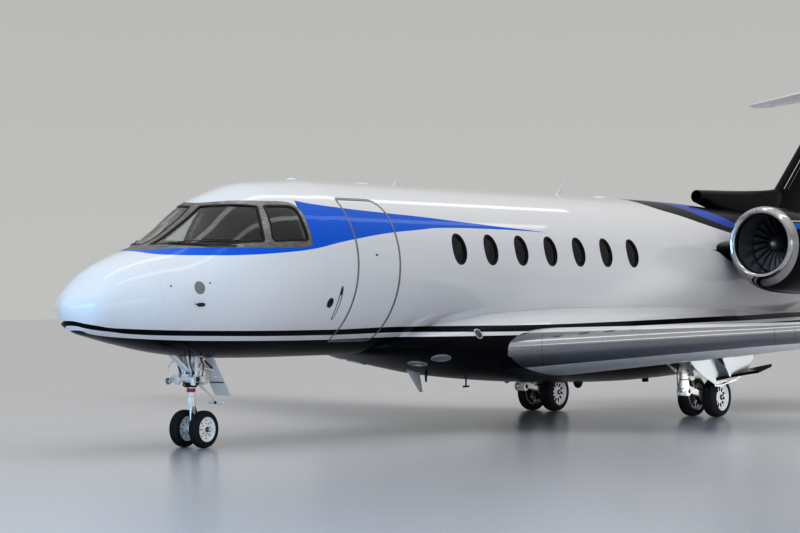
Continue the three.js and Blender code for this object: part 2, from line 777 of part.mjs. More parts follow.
// Splits a lifting surface into its fixed part and a hinged part with a pin at each end.
function splitSurface(whole, table, { from, to, share, pin: pinRadius, spread }) {
  const start = hingePoint(table, from, share);
  const end = hingePoint(table, to, share);
  const along = end.at.clone().sub(start.at).normalize();
  const ends = [from - spread, to + spread];
  const rows = table.map((row) => row[0]).filter((span) => span > ends[0] && span < ends[1]);
  const stations = [ends[0], ...rows, ends[1]]
    .map((span) => hingeOnLine(table, span, share, start.at, along));
  const cutEnds = (solid, gap) => solid
    .subtract(endBlock(start.at.clone().addScaledVector(along, -gap), along, -1))
    .subtract(endBlock(end.at.clone().addScaledVector(along, gap), along, 1));
  const moving = cutEnds(hingedBody(stations, 0, 0), 0);
  const cove = cutEnds(hingedBody(stations, RUNNING_GAP, COVE_TAIL), RUNNING_GAP);
  const pin = (point, sign, radius, length) => bar(
    point.clone().addScaledVector(along, -sign * HINGE_PIN_ROOT).toArray(),
    point.clone().addScaledVector(along, sign * length).toArray(),
    radius,
    PIN_SIDES,
  );
  const pins = pin(start.at, -1, pinRadius, HINGE_PIN_LENGTH)
    .add(pin(end.at, 1, pinRadius, HINGE_PIN_LENGTH));
  const boreRadius = (pinRadius + FIT_GAP) / Math.cos(Math.PI / PIN_SIDES);
  const boreLength = HINGE_PIN_LENGTH + HINGE_BORE_ROOM;
  const holes = pin(start.at, -1, boreRadius, boreLength).add(pin(end.at, 1, boreRadius, boreLength));
  return { fixed: whole.subtract(cove).subtract(holes), moving: moving.add(pins) };
}

// The control surface's section where its span station crosses the straight hinge line.
function hingeOnLine(table, span, share, start, along) {
  const point = hingePoint(table, span, share);
  const travelled = point.isFin ? (span - start.z) / along.z : (span - start.y) / along.y;
  return { ...point, at: start.clone().addScaledVector(along, travelled) };
}

function addWings() {
  const hull = tube(HULL, RADOME_END, TAIL_END, -FIT_GAP);
  const fairing = fairingBody(-FIT_GAP);
  const main = surface(WING, wingRing, BAND_SHARE + BAND_GAP_SHARE, 1);
  const band = surface(WING, wingRing, 0, BAND_SHARE);
  const flaps = splitSurface(main.subtract(fairing).subtract(hull), WING, FLAP);
  const ailerons = splitSurface(flaps.fixed, WING, AILERON);
  addPair('wing', ailerons.fixed, 'silver');
  addPair('wing_leading_edge', band.subtract(fairing).subtract(hull), 'silver');
  addPair('flap', flaps.moving, 'white');
  addPair('aileron', ailerons.moving, 'white');
}

// The fin with a little room round it, for cutting the pieces that meet it.
function finRoom() {
  return loft(FIN.map(([z, leading, chord, thickness]) => finRing(
    [z, leading - FIN_ROOM.ahead, chord + FIN_ROOM.chord, thickness + FIN_ROOM.thickness],
    0,
    1,
  )));
}

function addTail() {
  const hull = tube(HULL, CABIN_END, TAIL_END, -FIT_GAP);
  const rudder = splitSurface(surface(FIN, finRing, 0, 1).subtract(hull), FIN, RUDDER);
  addPiece('vertical_fin', rudder.fixed, 'black');
  addPiece('rudder', rudder.moving, 'black');

  const front = DORSAL[0][0];
  const mouth = bar(
    [front - CUT_OVERLAP, 0, DORSAL_MOUTH_Z],
    [front + DORSAL_MOUTH_DEPTH, 0, DORSAL_MOUTH_Z],
    DORSAL_MOUTH_RADIUS,
    DORSAL_SIDES,
  );
  const pipe = tube(DORSAL, front, DORSAL[DORSAL.length - 1][0], 0, 0, DORSAL_SIDES);
  addPiece('dorsal_inlet', pipe.subtract(mouth).subtract(hull).subtract(finRoom()), 'black');

  const half = surface(STABILISER, wingRing, 0, 1).subtract(finRoom());
  const elevators = splitSurface(half, STABILISER, ELEVATOR);
  addPair('stabiliser', elevators.fixed, 'silver');
  addPair('elevator', elevators.moving, 'white');
}

// Engines

function addEngines() {
  const engineTube = (table, from, to, inset) => (
    tube(table, from, to, inset, ENGINE_Y, NACELLE_SIDES));
  const duct = engineTube(DUCT, LIP_END, NACELLE_END + CUT_OVERLAP, 0);
  const nacelle = engineTube(NACELLE, LIP_END + FIT_GAP, NACELLE_END, 0).subtract(duct);
  const throat = engineTube(THROAT, INTAKE_FRONT - CUT_OVERLAP, LIP_END + CUT_OVERLAP, 0);
  const lip = engineTube(NACELLE, INTAKE_FRONT, LIP_END, 0).subtract(throat);
  const nacelleRoom = engineTube(NACELLE, INTAKE_FRONT, NACELLE_END, -FIT_GAP);
  const hull = tube(HULL, RADOME_END, TAIL_END, -FIT_GAP);
  addPair('nacelle', nacelle, 'black');
  addPair('intake_lip', lip, 'silver');
  addPair('engine_core', engineCore(), 'steel');
  addPair('fan', fan(), 'steel');
  addPair('pylon', surface(PYLON, wingRing, 0, 1).subtract(hull).subtract(nacelleRoom), 'black');
}

// The engine as one block: its fan case fills the duct and its nozzle is narrower.
function engineCore() {
  const centre = (x) => [x, ENGINE_Y, ENGINE_Z];
  const casing = tube(DUCT, CORE_FRONT, CORE_SHOULDER, FIT_GAP, ENGINE_Y, NACELLE_SIDES);
  const { radius, endRadius, overlap, sides } = NOZZLE;
  return casing.add(bar(centre(CORE_SHOULDER - overlap), centre(CORE_END), radius, sides, endRadius));
}

function fan() {
  const centre = (x) => [x, ENGINE_Y, ENGINE_Z];
  const hubFront = FAN_STATION - FAN_HUB.ahead;
  const hubRear = FAN_STATION + FAN_HUB.behind;
  const hub = bar(centre(hubFront), centre(hubRear), FAN_HUB.radius, FAN_HUB.sides);
  const spinner = bar(
    centre(hubFront - SPINNER.length),
    centre(hubFront),
    SPINNER.tipRadius,
    FAN_HUB.sides,
    FAN_HUB.radius,
  );
  const shaftEnds = [centre(hubRear - FAN_SHAFT.overlap), centre(CORE_FRONT - FIT_GAP)];
  const shaft = bar(...shaftEnds, FAN_SHAFT.radius, FAN_SHAFT.sides);
  const pieces = [hub, spinner, shaft];
  const tip = DUCT_RADIUS - FAN_BLADE.tipGap;
  const root = FAN_HUB.radius - FAN_BLADE.root;
  for (let i = 0; i < FAN_BLADES; i += 1) {
    const blade = new THREE.BoxGeometry(FAN_BLADE.chord, FAN_BLADE.thickness, tip - root);
    blade.rotateZ(FAN_BLADE.twist);
    blade.translate(FAN_STATION + FAN_BLADE.offset, 0, (tip + root) / 2);
    blade.rotateX((2 * Math.PI * i) / FAN_BLADES);
    blade.translate(0, ENGINE_Y, ENGINE_Z);
    pieces.push(solidOf(blade));
  }
  return joined(pieces);
}

// Landing gear

// A wheel with its tyre: a profile turned about its axle, its flats lying on the true radius.
function wheel(radius, width, boreRadius) {
  const corner = radius / Math.cos(Math.PI / WHEEL_SIDES);
  const bore = boreRadius / Math.cos(Math.PI / WHEEL_SIDES);
  const half = width / 2;
  const rim = radius * RIM_SHARE;
  const shoulder = corner * SHOULDER_SHARE;
  const profile = [
    [bore, -half * BORE_HALF], [rim, -half * RIM_HALF], [shoulder, -half],
    [corner, -half * TREAD_HALF], [corner, half * TREAD_HALF],
    [shoulder, half], [rim, half * RIM_HALF], [bore, half * BORE_HALF],
    [bore, -half * BORE_HALF],
  ];
  const points = profile.map(([r, y]) => new THREE.Vector2(r, y));
  const geometry = new THREE.LatheGeometry(points, WHEEL_SIDES);
  geometry.rotateY(Math.PI / WHEEL_SIDES);
  return solidOf(geometry);
}

// Adds the two wheels of one axle, named after the places they stand in.
function addWheels(names, x, centreY, spacing, radius, width, axleRadius) {
  const solid = wheel(radius, width, axleRadius + AXLE_GAP);
  names.forEach((name, i) => {
    addPiece(name, solid.translate([x, centreY + spacing * (i - 0.5), radius]), 'rubber');
  });
}

function addNoseGear() {
  const x = NOSE_LEG_STATION;
  const hull = tube(HULL, RADOME_END, COCKPIT_END, -FIT_GAP);
  const braceStart = [x - NOSE_BRACE.ahead, 0, NOSE_BRACE.footAt];
  const braceEnd = [x - NOSE_BRACE.run, 0, NOSE_BRACE.topAt];
  const { halfLength, halfWidth, foot, top } = NOSE_HEAD;
  const collar = NOSE_COLLAR_Z + FIT_GAP;
  const leg = joined([
    box(x - halfLength, x + halfLength, -halfWidth, halfWidth, foot, top),
    bar([x, 0, collar], [x, 0, NOSE_STRUT.top], NOSE_STRUT.radius, LEG_SIDES),
    bar(braceStart, braceEnd, NOSE_BRACE.radius, NOSE_BRACE.sides),
  ]);
  addPiece('nose_gear_leg', leg.subtract(hull), 'gear');

  const axleEnd = NOSE_WHEEL_SPACING / 2 + NOSE_TYRE_WIDTH / 2;
  const axleX = NOSE_WHEEL_STATION;
  const axleZ = NOSE_TYRE_RADIUS;
  const crosshead = box(
    x - NOSE_CROSSHEAD.ahead,
    axleX + NOSE_CROSSHEAD.behind,
    -NOSE_CROSSHEAD.halfWidth,
    NOSE_CROSSHEAD.halfWidth,
    axleZ - NOSE_CROSSHEAD.below,
    axleZ + NOSE_CROSSHEAD.above,
  );
  const piston = [[x, 0, NOSE_PISTON.foot], [x, 0, NOSE_PISTON.top]];
  const fork = joined([
    bar([x, 0, NOSE_SLEEVE.foot], [x, 0, NOSE_COLLAR_Z], NOSE_SLEEVE.radius, LEG_SIDES),
    bar(...piston, NOSE_PISTON.radius, NOSE_PISTON.sides),
    crosshead,
    bar([axleX, -axleEnd, axleZ], [axleX, axleEnd, axleZ], NOSE_AXLE_RADIUS, LEG_SIDES),
  ]);
  addPiece('nose_gear_fork', fork, 'gear');

  const door = platesFrom(NOSE_DOOR, -NOSE_DOOR_HALF_WIDTH, NOSE_DOOR_HALF_WIDTH);
  addPiece('nose_gear_door', door.subtract(hull), 'white');

  addWheels(
    ['port_nose_wheel', 'starboard_nose_wheel'],
    axleX,
    0,
    NOSE_WHEEL_SPACING,
    NOSE_TYRE_RADIUS,
    NOSE_TYRE_WIDTH,
    NOSE_AXLE_RADIUS,
  );
}

// The main leg's strut and pivot barrel, or with grow the room they stand in.
function mainStrut(grow) {
  const [x, y] = [MAIN_LEG_STATION, MAIN_LEG_Y];
  const { radius, z, halfWidth } = MAIN_PIVOT;
  const across = halfWidth + grow;
  return joined([
    bar([x, y, MAIN_STRUT.foot], [x, y, MAIN_STRUT.top], MAIN_STRUT.radius + grow, LEG_SIDES),
    bar([x, y - across, z], [x, y + across, z], radius + grow, LEG_SIDES),
  ]);
}

function mainBrace() {
  const fromLeg = ([x, y, z]) => [MAIN_LEG_STATION + x, MAIN_LEG_Y + y, z];
  const { start, end, radius, sides } = MAIN_BRACE;
  return bar(fromLeg(start), fromLeg(end), radius, sides);
}

function trailingArm() {
  const [x, y] = [MAIN_LEG_STATION, MAIN_LEG_Y];
  const axleX = MAIN_WHEEL_STATION;
  const axleZ = MAIN_TYRE_RADIUS;
  const axleEnd = MAIN_WHEEL_SPACING / 2 + MAIN_TYRE_WIDTH / 2;
  const axleCorners = ARM_AXLE_END.map(([back, up]) => [axleX + back, axleZ + up]);
  const outline = [[x + ARM.clear, ARM.top], [x + ARM.clear, ARM.foot], ...axleCorners];
  const shockFoot = [axleX - SHOCK.ahead, y, axleZ + SHOCK.rise];
  return joined([
    platesFrom(outline.reverse(), y - ARM.halfWidth, y + ARM.halfWidth),
    bar([axleX, y - axleEnd, axleZ], [axleX, y + axleEnd, axleZ], MAIN_AXLE_RADIUS, LEG_SIDES),
    bar(shockFoot, [x + SHOCK.clear, y, SHOCK.top], SHOCK.radius, SHOCK.sides),
  ]);
}

// The leg door: a plate beside the wheels, a lower lip that turns outboard and a web above it.
function legDoor() {
  const thick = LEG_DOOR_THICKNESS;
  const plate = platesFrom(LEG_DOOR_PLATE, LEG_DOOR_Y, LEG_DOOR_Y + thick);
  const lipRing = (y, rise) => [
    [LIP_FRONT, y, LIP_FOOT.front + rise],
    [LIP_REAR, y, LIP_FOOT.rear + rise],
    [LIP_REAR, y, LIP_FOOT.rear + rise + thick],
    [LIP_FRONT, y, LIP_FOOT.front + rise + thick],
  ];
  const lip = loft([lipRing(LEG_DOOR_Y, 0), lipRing(LIP_OUTER_Y, LIP_RISE)]);
  const web = platesFrom(LEG_DOOR_WEB, WEB_Y, WEB_Y + thick);
  const arms = DOOR_ARM.heights.map((z) => bar(
    [MAIN_LEG_STATION, MAIN_LEG_Y + DOOR_ARM.inset, z],
    [MAIN_LEG_STATION, LEG_DOOR_Y + DOOR_ARM.bite, z],
    DOOR_ARM.radius,
    DOOR_ARM.sides,
  ));
  return joined([plate, lip, web, ...arms]);
}

function addMainGear() {
  const wing = surface(WING, wingRing, 0, 1);
  const wingRoom = wing.add(wing.translate([0, 0, -FIT_GAP]));
  const legRoom = mainStrut(FIT_GAP);
  const leg = mainStrut(0).add(mainBrace()).subtract(wingRoom).subtract(fairingBody(-FIT_GAP));
  addPair('main_gear_leg', largestPiece(leg), 'gear');
  addPair('trailing_arm', largestPiece(trailingArm().subtract(legRoom).subtract(wingRoom)), 'gear');
  addPair('leg_door', largestPiece(legDoor().subtract(legRoom).subtract(wingRoom)), 'grey');
  addWheels(
    ['starboard_inner_main_wheel', 'starboard_outer_main_wheel'],
    MAIN_WHEEL_STATION,
    MAIN_LEG_Y,
    MAIN_WHEEL_SPACING,
    MAIN_TYRE_RADIUS,
    MAIN_TYRE_WIDTH,
    MAIN_AXLE_RADIUS,
  );
  addWheels(
    ['port_outer_main_wheel', 'port_inner_main_wheel'],
    MAIN_WHEEL_STATION,
    -MAIN_LEG_Y,
    MAIN_WHEEL_SPACING,
    MAIN_TYRE_RADIUS,
    MAIN_TYRE_WIDTH,
    MAIN_AXLE_RADIUS,
  );
}

// The largest body of a solid that cutting has left in several, without the offcuts.
function largestPiece(solid) {
  const pieces = solid.decompose();
  return pieces.reduce((best, piece) => (piece.volume() > best.volume() ? piece : best));
}

addFuselage();
addDoor();
addBelly();
addCabin();
addWings();
addTail();
addEngines();
addNoseGear();
addMainGear();

export default aeroplane;
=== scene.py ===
"""The looks of a parked twin-engined business jet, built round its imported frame.

Metres, +Z up, +Y starboard. Stations run aft from the nose tip, and x = station - SHIFT.
"""
import math

import bmesh
import bpy
import numpy as np
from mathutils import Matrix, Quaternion, Vector


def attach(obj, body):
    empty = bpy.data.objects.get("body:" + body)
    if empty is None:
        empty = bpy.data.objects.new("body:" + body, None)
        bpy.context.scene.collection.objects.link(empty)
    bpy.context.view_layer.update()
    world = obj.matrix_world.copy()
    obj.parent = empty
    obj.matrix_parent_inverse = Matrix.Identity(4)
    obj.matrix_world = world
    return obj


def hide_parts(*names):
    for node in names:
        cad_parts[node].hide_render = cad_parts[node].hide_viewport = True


SHIFT = 10.55
LENGTH, HEIGHT = 21.1, 6.0

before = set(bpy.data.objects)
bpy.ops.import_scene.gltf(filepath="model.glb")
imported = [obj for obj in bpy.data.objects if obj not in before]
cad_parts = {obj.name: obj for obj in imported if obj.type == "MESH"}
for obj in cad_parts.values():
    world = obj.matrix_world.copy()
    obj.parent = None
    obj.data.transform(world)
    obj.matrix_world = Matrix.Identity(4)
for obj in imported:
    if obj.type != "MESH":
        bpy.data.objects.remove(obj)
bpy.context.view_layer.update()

# Outlines in millimetres. Columns: station, crown, keel, half width, height of the widest point
HULL = [
    [0, 1657, 1657, 0, 1657],
    [60, 1762, 1504, 156, 1663],
    [200, 1896, 1381, 351, 1676],
    [500, 2122, 1305, 493, 1704],
    [900, 2282, 1224, 649, 1741],
    [1400, 2419, 1137, 789, 1811],
    [1900, 2682, 1081, 907, 1887],
    [2400, 3000, 1049, 1006, 1963],
    [2900, 3149, 1040, 1061, 2040],
    [3400, 3197, 1036, 1086, 2116],
    [4000, 3228, 1036, 1095, 2131],
    [11700, 3228, 1036, 1095, 2131],
    [11900, 3227, 1038, 1093, 2134],
    [13000, 3212, 1060, 1075, 2160],
    [14000, 3174, 1100, 1000, 2220],
    [15500, 3140, 1160, 880, 2330],
    [17000, 3100, 1420, 720, 2480],
    [18500, 3060, 2000, 440, 2700],
    [19600, 3010, 2600, 170, 2830],
]
BELLY = [
    [4900, 1260, 1060, 200, 1120],
    [5300, 1450, 985, 800, 1130],
    [5800, 1560, 890, 1050, 1130],
    [6400, 1690, 790, 1160, 1100],
    [7100, 1810, 690, 1250, 1050],
    [9000, 1895, 560, 1320, 1000],
    [11100, 1905, 507, 1320, 980],
    [12400, 1908, 530, 1220, 1020],
    [13500, 1878, 640, 1080, 1100],
    [14600, 1660, 900, 980, 1200],
    [15800, 1560, 1080, 860, 1320],
    [17000, 1620, 1330, 620, 1440],
    [18200, 2080, 1990, 160, 2030],
]
NACELLE = [
    [12874, 3062, 2058, 502, 2560],
    [12900, 3094, 2012, 538, 2560],
    [13020, 3122, 1914, 580, 2545],
    [13400, 3112, 1826, 632, 2500],
    [14200, 3078, 1795, 660, 2480],
    [15000, 3030, 1850, 640, 2490],
    [15800, 2975, 2020, 540, 2530],
    [16400, 2960, 2150, 410, 2560],
]
THROAT = [
    [12873, 3063, 2057, 503, 2560],
    [12890, 3024, 2096, 464, 2560],
    [12950, 2996, 2124, 436, 2560],
    [13021, 3002, 2118, 442, 2560],
    [13400, 3035, 2085, 475, 2560],
    [15300, 3035, 2085, 475, 2560],
    [16401, 2925, 2185, 375, 2560],
]
DORSAL = [
    [13980, 3445, 3245, 98, 3345],
    [14180, 3452, 3200, 104, 3345],
    [15200, 3475, 2980, 110, 3345],
    [16400, 3530, 2900, 120, 3350],
    [16900, 3600, 2900, 90, 3350],
]
# Lifting surfaces. Columns: span station, leading edge station, chord, leading edge height,
# trailing edge height, thickness share. The fin's are: height, leading edge station, chord, share
WING = [
    [950, 6720, 5030, 1049, 925, 0.130],
    [4000, 8550, 3200, 1267, 1207, 0.112],
    [9200, 11670, 1300, 1640, 1640, 0.100],
    [9400, 11890, 1000, 1654, 1654, 0.085],
]
STABILISER = [
    [40, 18900, 1880, 5463, 5463, 0.095],
    [2450, 20355, 740, 5323, 5323, 0.095],
    [2600, 20500, 600, 5314, 5314, 0.080],
]
FIN = [
    [2900, 15900, 3590, 0.095],
    [3550, 16640, 3180, 0.105],
    [5850, 19296, 1674, 0.100],
    [5970, 19490, 1530, 0.080],
]
FLAP = {"start": 2.8, "end": 6.15, "share": 0.76, "spread": 0.32}
AILERON = {"start": 6.4, "end": 8.9, "share": 0.76, "spread": 0.32}
ELEVATOR = {"start": 0.4, "end": 2.4, "share": 0.68, "spread": 0.32}
RUDDER = {"start": 3.74, "end": 5.08, "share": 0.68, "spread": 0.7}
ENGINE_Y, ENGINE_Z = 1.718, 2.56
WALL = 0.09
PORT, STARBOARD = -1, 1
SIDES = {"port": PORT, "starboard": STARBOARD}


# Shapes

PIPE_STEPS, PIPE_SIDES = 6, 10
CORNER_STEPS, OUTLINE_STEP = 6, 0.04
NORMAL_STEP = 0.0015


def monotone_slopes(keys, values):
    """Slopes for a smooth curve through rows that never overshoots them."""
    width = np.diff(keys)[:, None]
    rise = np.diff(values, axis=0) / width
    slopes = np.zeros_like(values)
    slopes[0], slopes[-1] = rise[0], rise[-1]
    before, after = rise[:-1], rise[1:]
    w1, w2 = 2 * width[1:] + width[:-1], width[1:] + 2 * width[:-1]
    same = before * after > 0
    safe_before, safe_after = np.where(same, before, 1), np.where(same, after, 1)
    slopes[1:-1] = np.where(same, (w1 + w2) / (w1 / safe_before + w2 / safe_after), 0)
    return slopes


class Egg:
    """A body whose sections are half ellipses above and below their widest point."""

    def __init__(self, rows, centre_y=0.0, blunt=False):
        rows = np.array(rows, float) / 1000
        self.blunt, self.centre_y = blunt, centre_y
        self.ends = rows[0, 0], rows[-1, 0]
        self.keys = self.key(rows[:, 0])
        self.values = rows[:, 1:]
        self.slopes = monotone_slopes(self.keys, self.values)

    def key(self, station):
        """A station as the curve's own measure, which makes a blunt nose round."""
        return np.sqrt(station) if self.blunt else station

    def at(self, station):
        """Crown, keel, half width and widest height at a station."""
        key = self.key(np.clip(np.asarray(station, float), *self.ends))
        i = np.clip(np.searchsorted(self.keys, key) - 1, 0, len(self.keys) - 2)
        width = (self.keys[i + 1] - self.keys[i])[..., None]
        s = (key - self.keys[i])[..., None] / width
        made = (
            (1 + 2 * s) * (1 - s) ** 2 * self.values[i]
            + s * (1 - s) ** 2 * width * self.slopes[i]
            + s * s * (3 - 2 * s) * self.values[i + 1]
            + s * s * (s - 1) * width * self.slopes[i + 1]
        )
        return np.moveaxis(made, -1, 0)

    def ring(self, station, sides, inset=0.0):
        """The section at a station, inset from the skin."""
        crown, keel, half, widest = self.at(station)
        turn = 2 * np.pi * np.arange(sides) / sides - np.pi / 2
        rise = np.where(np.sin(turn) >= 0, crown - widest, widest - keel) - inset
        y = self.centre_y + max(half - inset, 0) * np.cos(turn)
        z = widest + np.maximum(rise, 0) * np.sin(turn)
        return np.stack([np.full(sides, station - SHIFT), y, z], axis=1)

    def field(self, points):
        """Below zero inside the body and above zero outside."""
        crown, keel, half, widest = self.at(points[:, 0] + SHIFT)
        rise = np.where(points[:, 2] >= widest, crown - widest, widest - keel)
        across = (points[:, 1] - self.centre_y) / np.maximum(half, 1e-4)
        up = (points[:, 2] - widest) / np.maximum(rise, 1e-4)
        return across**2 + up**2 - 1

    def rings(self, start, end, step, sides, inset=0.0):
        """Sections about a step apart."""
        count = max(int(round((end - start) / step)), 1)
        share = np.linspace(0, 1, count + 1)
        if self.blunt and start < 0.01:
            share = share**2
        return [self.ring(start + (end - start) * s, sides, inset) for s in share]


hull = Egg(HULL, blunt=True)
belly = Egg(BELLY)
dorsal = Egg(DORSAL)
nacelles = {side: Egg(NACELLE, sign * ENGINE_Y) for side, sign in SIDES.items()}
ducts = {side: Egg(THROAT, sign * ENGINE_Y) for side, sign in SIDES.items()}


def gradient(field, points):
    """The outward unit normals of a field at points."""
    made = np.zeros_like(points)
    for axis in range(3):
        shift = np.zeros(3)
        shift[axis] = NORMAL_STEP
        made[:, axis] = field(points + shift) - field(points - shift)
    return made / np.maximum(np.linalg.norm(made, axis=1, keepdims=True), 1e-12)


def quads(count, sides):
    """Faces between count rings of the same number of points."""
    steps = [(a, (a + 1) % sides) for a in range(sides)]
    return [(r + a, r + b, r + sides + b, r + sides + a)
            for r in range(0, (count - 1) * sides, sides) for a, b in steps]


def loft(rings):
    """Points and faces of a closed body through rings."""
    sides, last = len(rings[0]), (len(rings) - 1) * len(rings[0])
    caps = [tuple(range(sides))[::-1], tuple(range(last, last + sides))]
    return np.vstack(rings), quads(len(rings), sides) + caps


def shell(outer, inner, front_open=True, back_open=True):
    """Points and faces of a hollow body. An end that isn't open is closed inside and out."""
    sides = len(outer[0])
    offset = len(outer) * sides
    faces = quads(len(outer), sides)
    faces += [tuple(i + offset for i in f[::-1]) for f in quads(len(inner), sides)]
    ends = [(0, offset, front_open), (offset - sides, offset + (len(inner) - 1) * sides, back_open)]
    for a, b, is_open in ends:
        if is_open:
            steps = [(s, (s + 1) % sides) for s in range(sides)]
            faces += [(a + s, b + s, b + t, a + t) for s, t in steps]
        else:
            faces += [tuple(a + s for s in range(sides)), tuple(b + s for s in range(sides))]
    return np.vstack(outer + inner), faces


def lathe(profile, segments, centre, axis="y"):
    """A closed profile of (distance along the axis, radius) turned about an axis along x or y."""
    rings = []
    for i in range(segments):
        turn = 2 * math.pi * i / segments
        c, s = math.cos(turn), math.sin(turn)
        rings.append([(r * c, a, r * s) if axis == "y" else (a, r * c, r * s) for a, r in profile])
    points = np.array(rings, float) + np.array(centre)
    sides, last = len(profile), (segments - 1) * len(profile)
    faces = quads(segments, sides)
    faces += [(last + a, last + (a + 1) % sides, (a + 1) % sides, a) for a in range(sides)]
    return points.reshape(-1, 3), faces


def merge(*parts):
    """Several (points, faces) as one."""
    points, faces, count = [], [], 0
    for p, f in parts:
        points.append(np.asarray(p, float))
        faces += [tuple(i + count for i in face) for face in f]
        count += len(p)
    return np.vstack(points), faces


def moved(part, offset):
    """A part shifted."""
    points, faces = part
    return np.asarray(points) + offset, faces


def at_station(part):
    """A part drawn with x as its station, put in the row's frame."""
    return moved(part, (-SHIFT, 0, 0))


def flip_y(part):
    """The mirror image of a part on the other side."""
    points, faces = part
    return np.array(points) * [1, -1, 1], [tuple(reversed(f)) for f in faces]


def on_side(part, sign):
    """A starboard part, or its mirror image on the port side."""
    return part if sign > 0 else flip_y(part)


def frame_of(direction):
    """Three directions at right angles, the first along the one given."""
    along = Vector(direction).normalized()
    side = along.cross(Vector((0, 0, 1) if abs(along.z) < 0.9 else (1, 0, 0))).normalized()
    return along, side, along.cross(side)


def rod(start, end, radius, end_radius=None, sides=20, bevel=0.0):
    """A round bar with softened ends."""
    start, end = Vector(start), Vector(end)
    along, side, up = frame_of(end - start)
    end_radius = radius if end_radius is None else end_radius
    bevel = min(bevel, 0.45 * (end - start).length, 0.8 * min(radius, end_radius))
    stops = [(start, radius), (end, end_radius)]
    if bevel > 0:
        stops = [
            (start, radius - bevel),
            (start + along * bevel * 0.35, radius - bevel * 0.3),
            (start + along * bevel, radius),
            (end - along * bevel, end_radius),
            (end - along * bevel * 0.35, end_radius - bevel * 0.3),
            (end, end_radius - bevel),
        ]
    turns = [2 * math.pi * i / sides for i in range(sides)]
    return loft([np.array([p + side * (r * math.cos(t)) + up * (r * math.sin(t)) for t in turns])
                 for p, r in stops])


def pipe(points, radius):
    """A bent round tube through points, smoothed between them."""
    given, line = [Vector(p) for p in points], []
    for i in range(len(given) - 1):
        a, b = given[i], given[i + 1]
        before = given[i - 1] if i else a - (b - a)
        after = given[i + 2] if i + 2 < len(given) else b + (b - a)
        for k in range(PIPE_STEPS):
            t = k / PIPE_STEPS
            line.append(0.5 * ((2 * a) + (b - before) * t + (2 * before - 5 * a + 4 * b - after) * t * t
                               + (3 * a - before - 3 * b + after) * t**3))
    line.append(given[-1])
    turns = [2 * math.pi * k / PIPE_SIDES for k in range(PIPE_SIDES)]
    rings, up = [], None
    for i, p in enumerate(line):
        along = (line[min(i + 1, len(line) - 1)] - line[max(i - 1, 0)]).normalized()
        if up is None:
            up = frame_of(along)[2]
        up = (up - along * up.dot(along)).normalized()
        side = along.cross(up)
        rings.append(np.array([p + side * (radius * math.cos(t)) + up * (radius * math.sin(t))
                               for t in turns]))
    return loft(rings)


def block(low, high, bevel=0.004):
    """A box with softened edges."""
    low, high = np.array(low, float), np.array(high, float)
    middle, half = (low + high) / 2, (high - low) / 2
    bm = bmesh.new()
    bmesh.ops.create_cube(bm, size=2)
    for v in bm.verts:
        v.co = Vector(np.array(v.co) * half)
    width = min(bevel, 0.9 * float(half.min()))
    bmesh.ops.bevel(bm, geom=bm.edges[:], offset=width, segments=2, affect="EDGES", profile=0.6)
    points = np.array([v.co[:] for v in bm.verts])
    faces = [tuple(v.index for v in f.verts) for f in bm.faces]
    bm.free()
    return points + middle, faces


def rods(rows, x=0.0, y=0.0):
    """Rods from rows in millimetres from a place. Columns: start and end as x, y, z, radius, sides, bevel."""
    made = []
    for *ends, radius, sides, bevel in rows:
        start, end = np.array(ends).reshape(2, 3) / 1000 + (x, y, 0)
        made.append(rod(start, end, radius / 1000, sides=sides, bevel=bevel / 1000))
    return made


def blocks(rows, x=0.0, y=0.0):
    """Blocks from rows in millimetres from a place. Columns: lowest x, y, z, highest x, y, z, bevel."""
    corners = [(np.array(row[:6]).reshape(2, 3) / 1000 + (x, y, 0), row[6] / 1000) for row in rows]
    return [block(low, high, bevel) for (low, high), bevel in corners]


def pipes(rows, x=0.0, y=0.0):
    """Pipes from rows in millimetres from a place. Columns: radius, then x, y, z of each point."""
    return [pipe(np.array(line).reshape(-1, 3) / 1000 + (x, y, 0), radius / 1000) for radius, *line in rows]


def circle(count, ring, first, axis):
    """Offsets round an axis along y or z, at ring from it, the first at an angle in degrees."""
    made = []
    for i in range(count):
        turn = math.radians(360 * i / count + first)
        a, b = ring * math.cos(turn), ring * math.sin(turn)
        made.append(np.array((a, b, 0) if axis == "z" else (a, 0, b)))
    return made


def turned(part, origin, axis, degrees):
    """A part turned about a line."""
    points, faces = part
    spin = np.array(Quaternion(Vector(axis), math.radians(degrees)).to_matrix())
    return (np.asarray(points) - np.array(origin)) @ spin.T + np.array(origin), faces


def outline(corners, radii):
    """A polygon in two directions with its corners rounded."""
    made, corners = [], [Vector((*c, 0)) for c in corners]
    for i, corner in enumerate(corners):
        a = (corners[i - 1] - corner).normalized()
        b = (corners[(i + 1) % len(corners)] - corner).normalized()
        half_angle = a.angle(b) / 2
        reach = radii[i] / math.tan(half_angle)
        centre = corner + (a + b).normalized() * (radii[i] / math.sin(half_angle))
        first, last = corner + a * reach - centre, corner + b * reach - centre
        for k in range(CORNER_STEPS + 1):
            made.append(centre + first.lerp(last, k / CORNER_STEPS).normalized() * radii[i])
    return np.array([p[:2] for p in made])


def oval(centre, half_width, half_height, power=2.0, count=40):
    """An ellipse, squarer with a higher power."""
    turn = 2 * np.pi * np.arange(count) / count
    c, s = np.cos(turn), np.sin(turn)
    return np.stack([centre[0] + half_width * np.sign(c) * np.abs(c) ** (2 / power),
                     centre[1] + half_height * np.sign(s) * np.abs(s) ** (2 / power)], axis=1)


def stand(line, x=None, y=None, z=None):
    """An outline drawn in two directions, at one value of the third."""
    axis, value = next((i, v) for i, v in enumerate((x, y, z)) if v is not None)
    columns = [line[:, 0], line[:, 1]]
    columns.insert(axis, np.full(len(line), value))
    return np.stack(columns, axis=1)


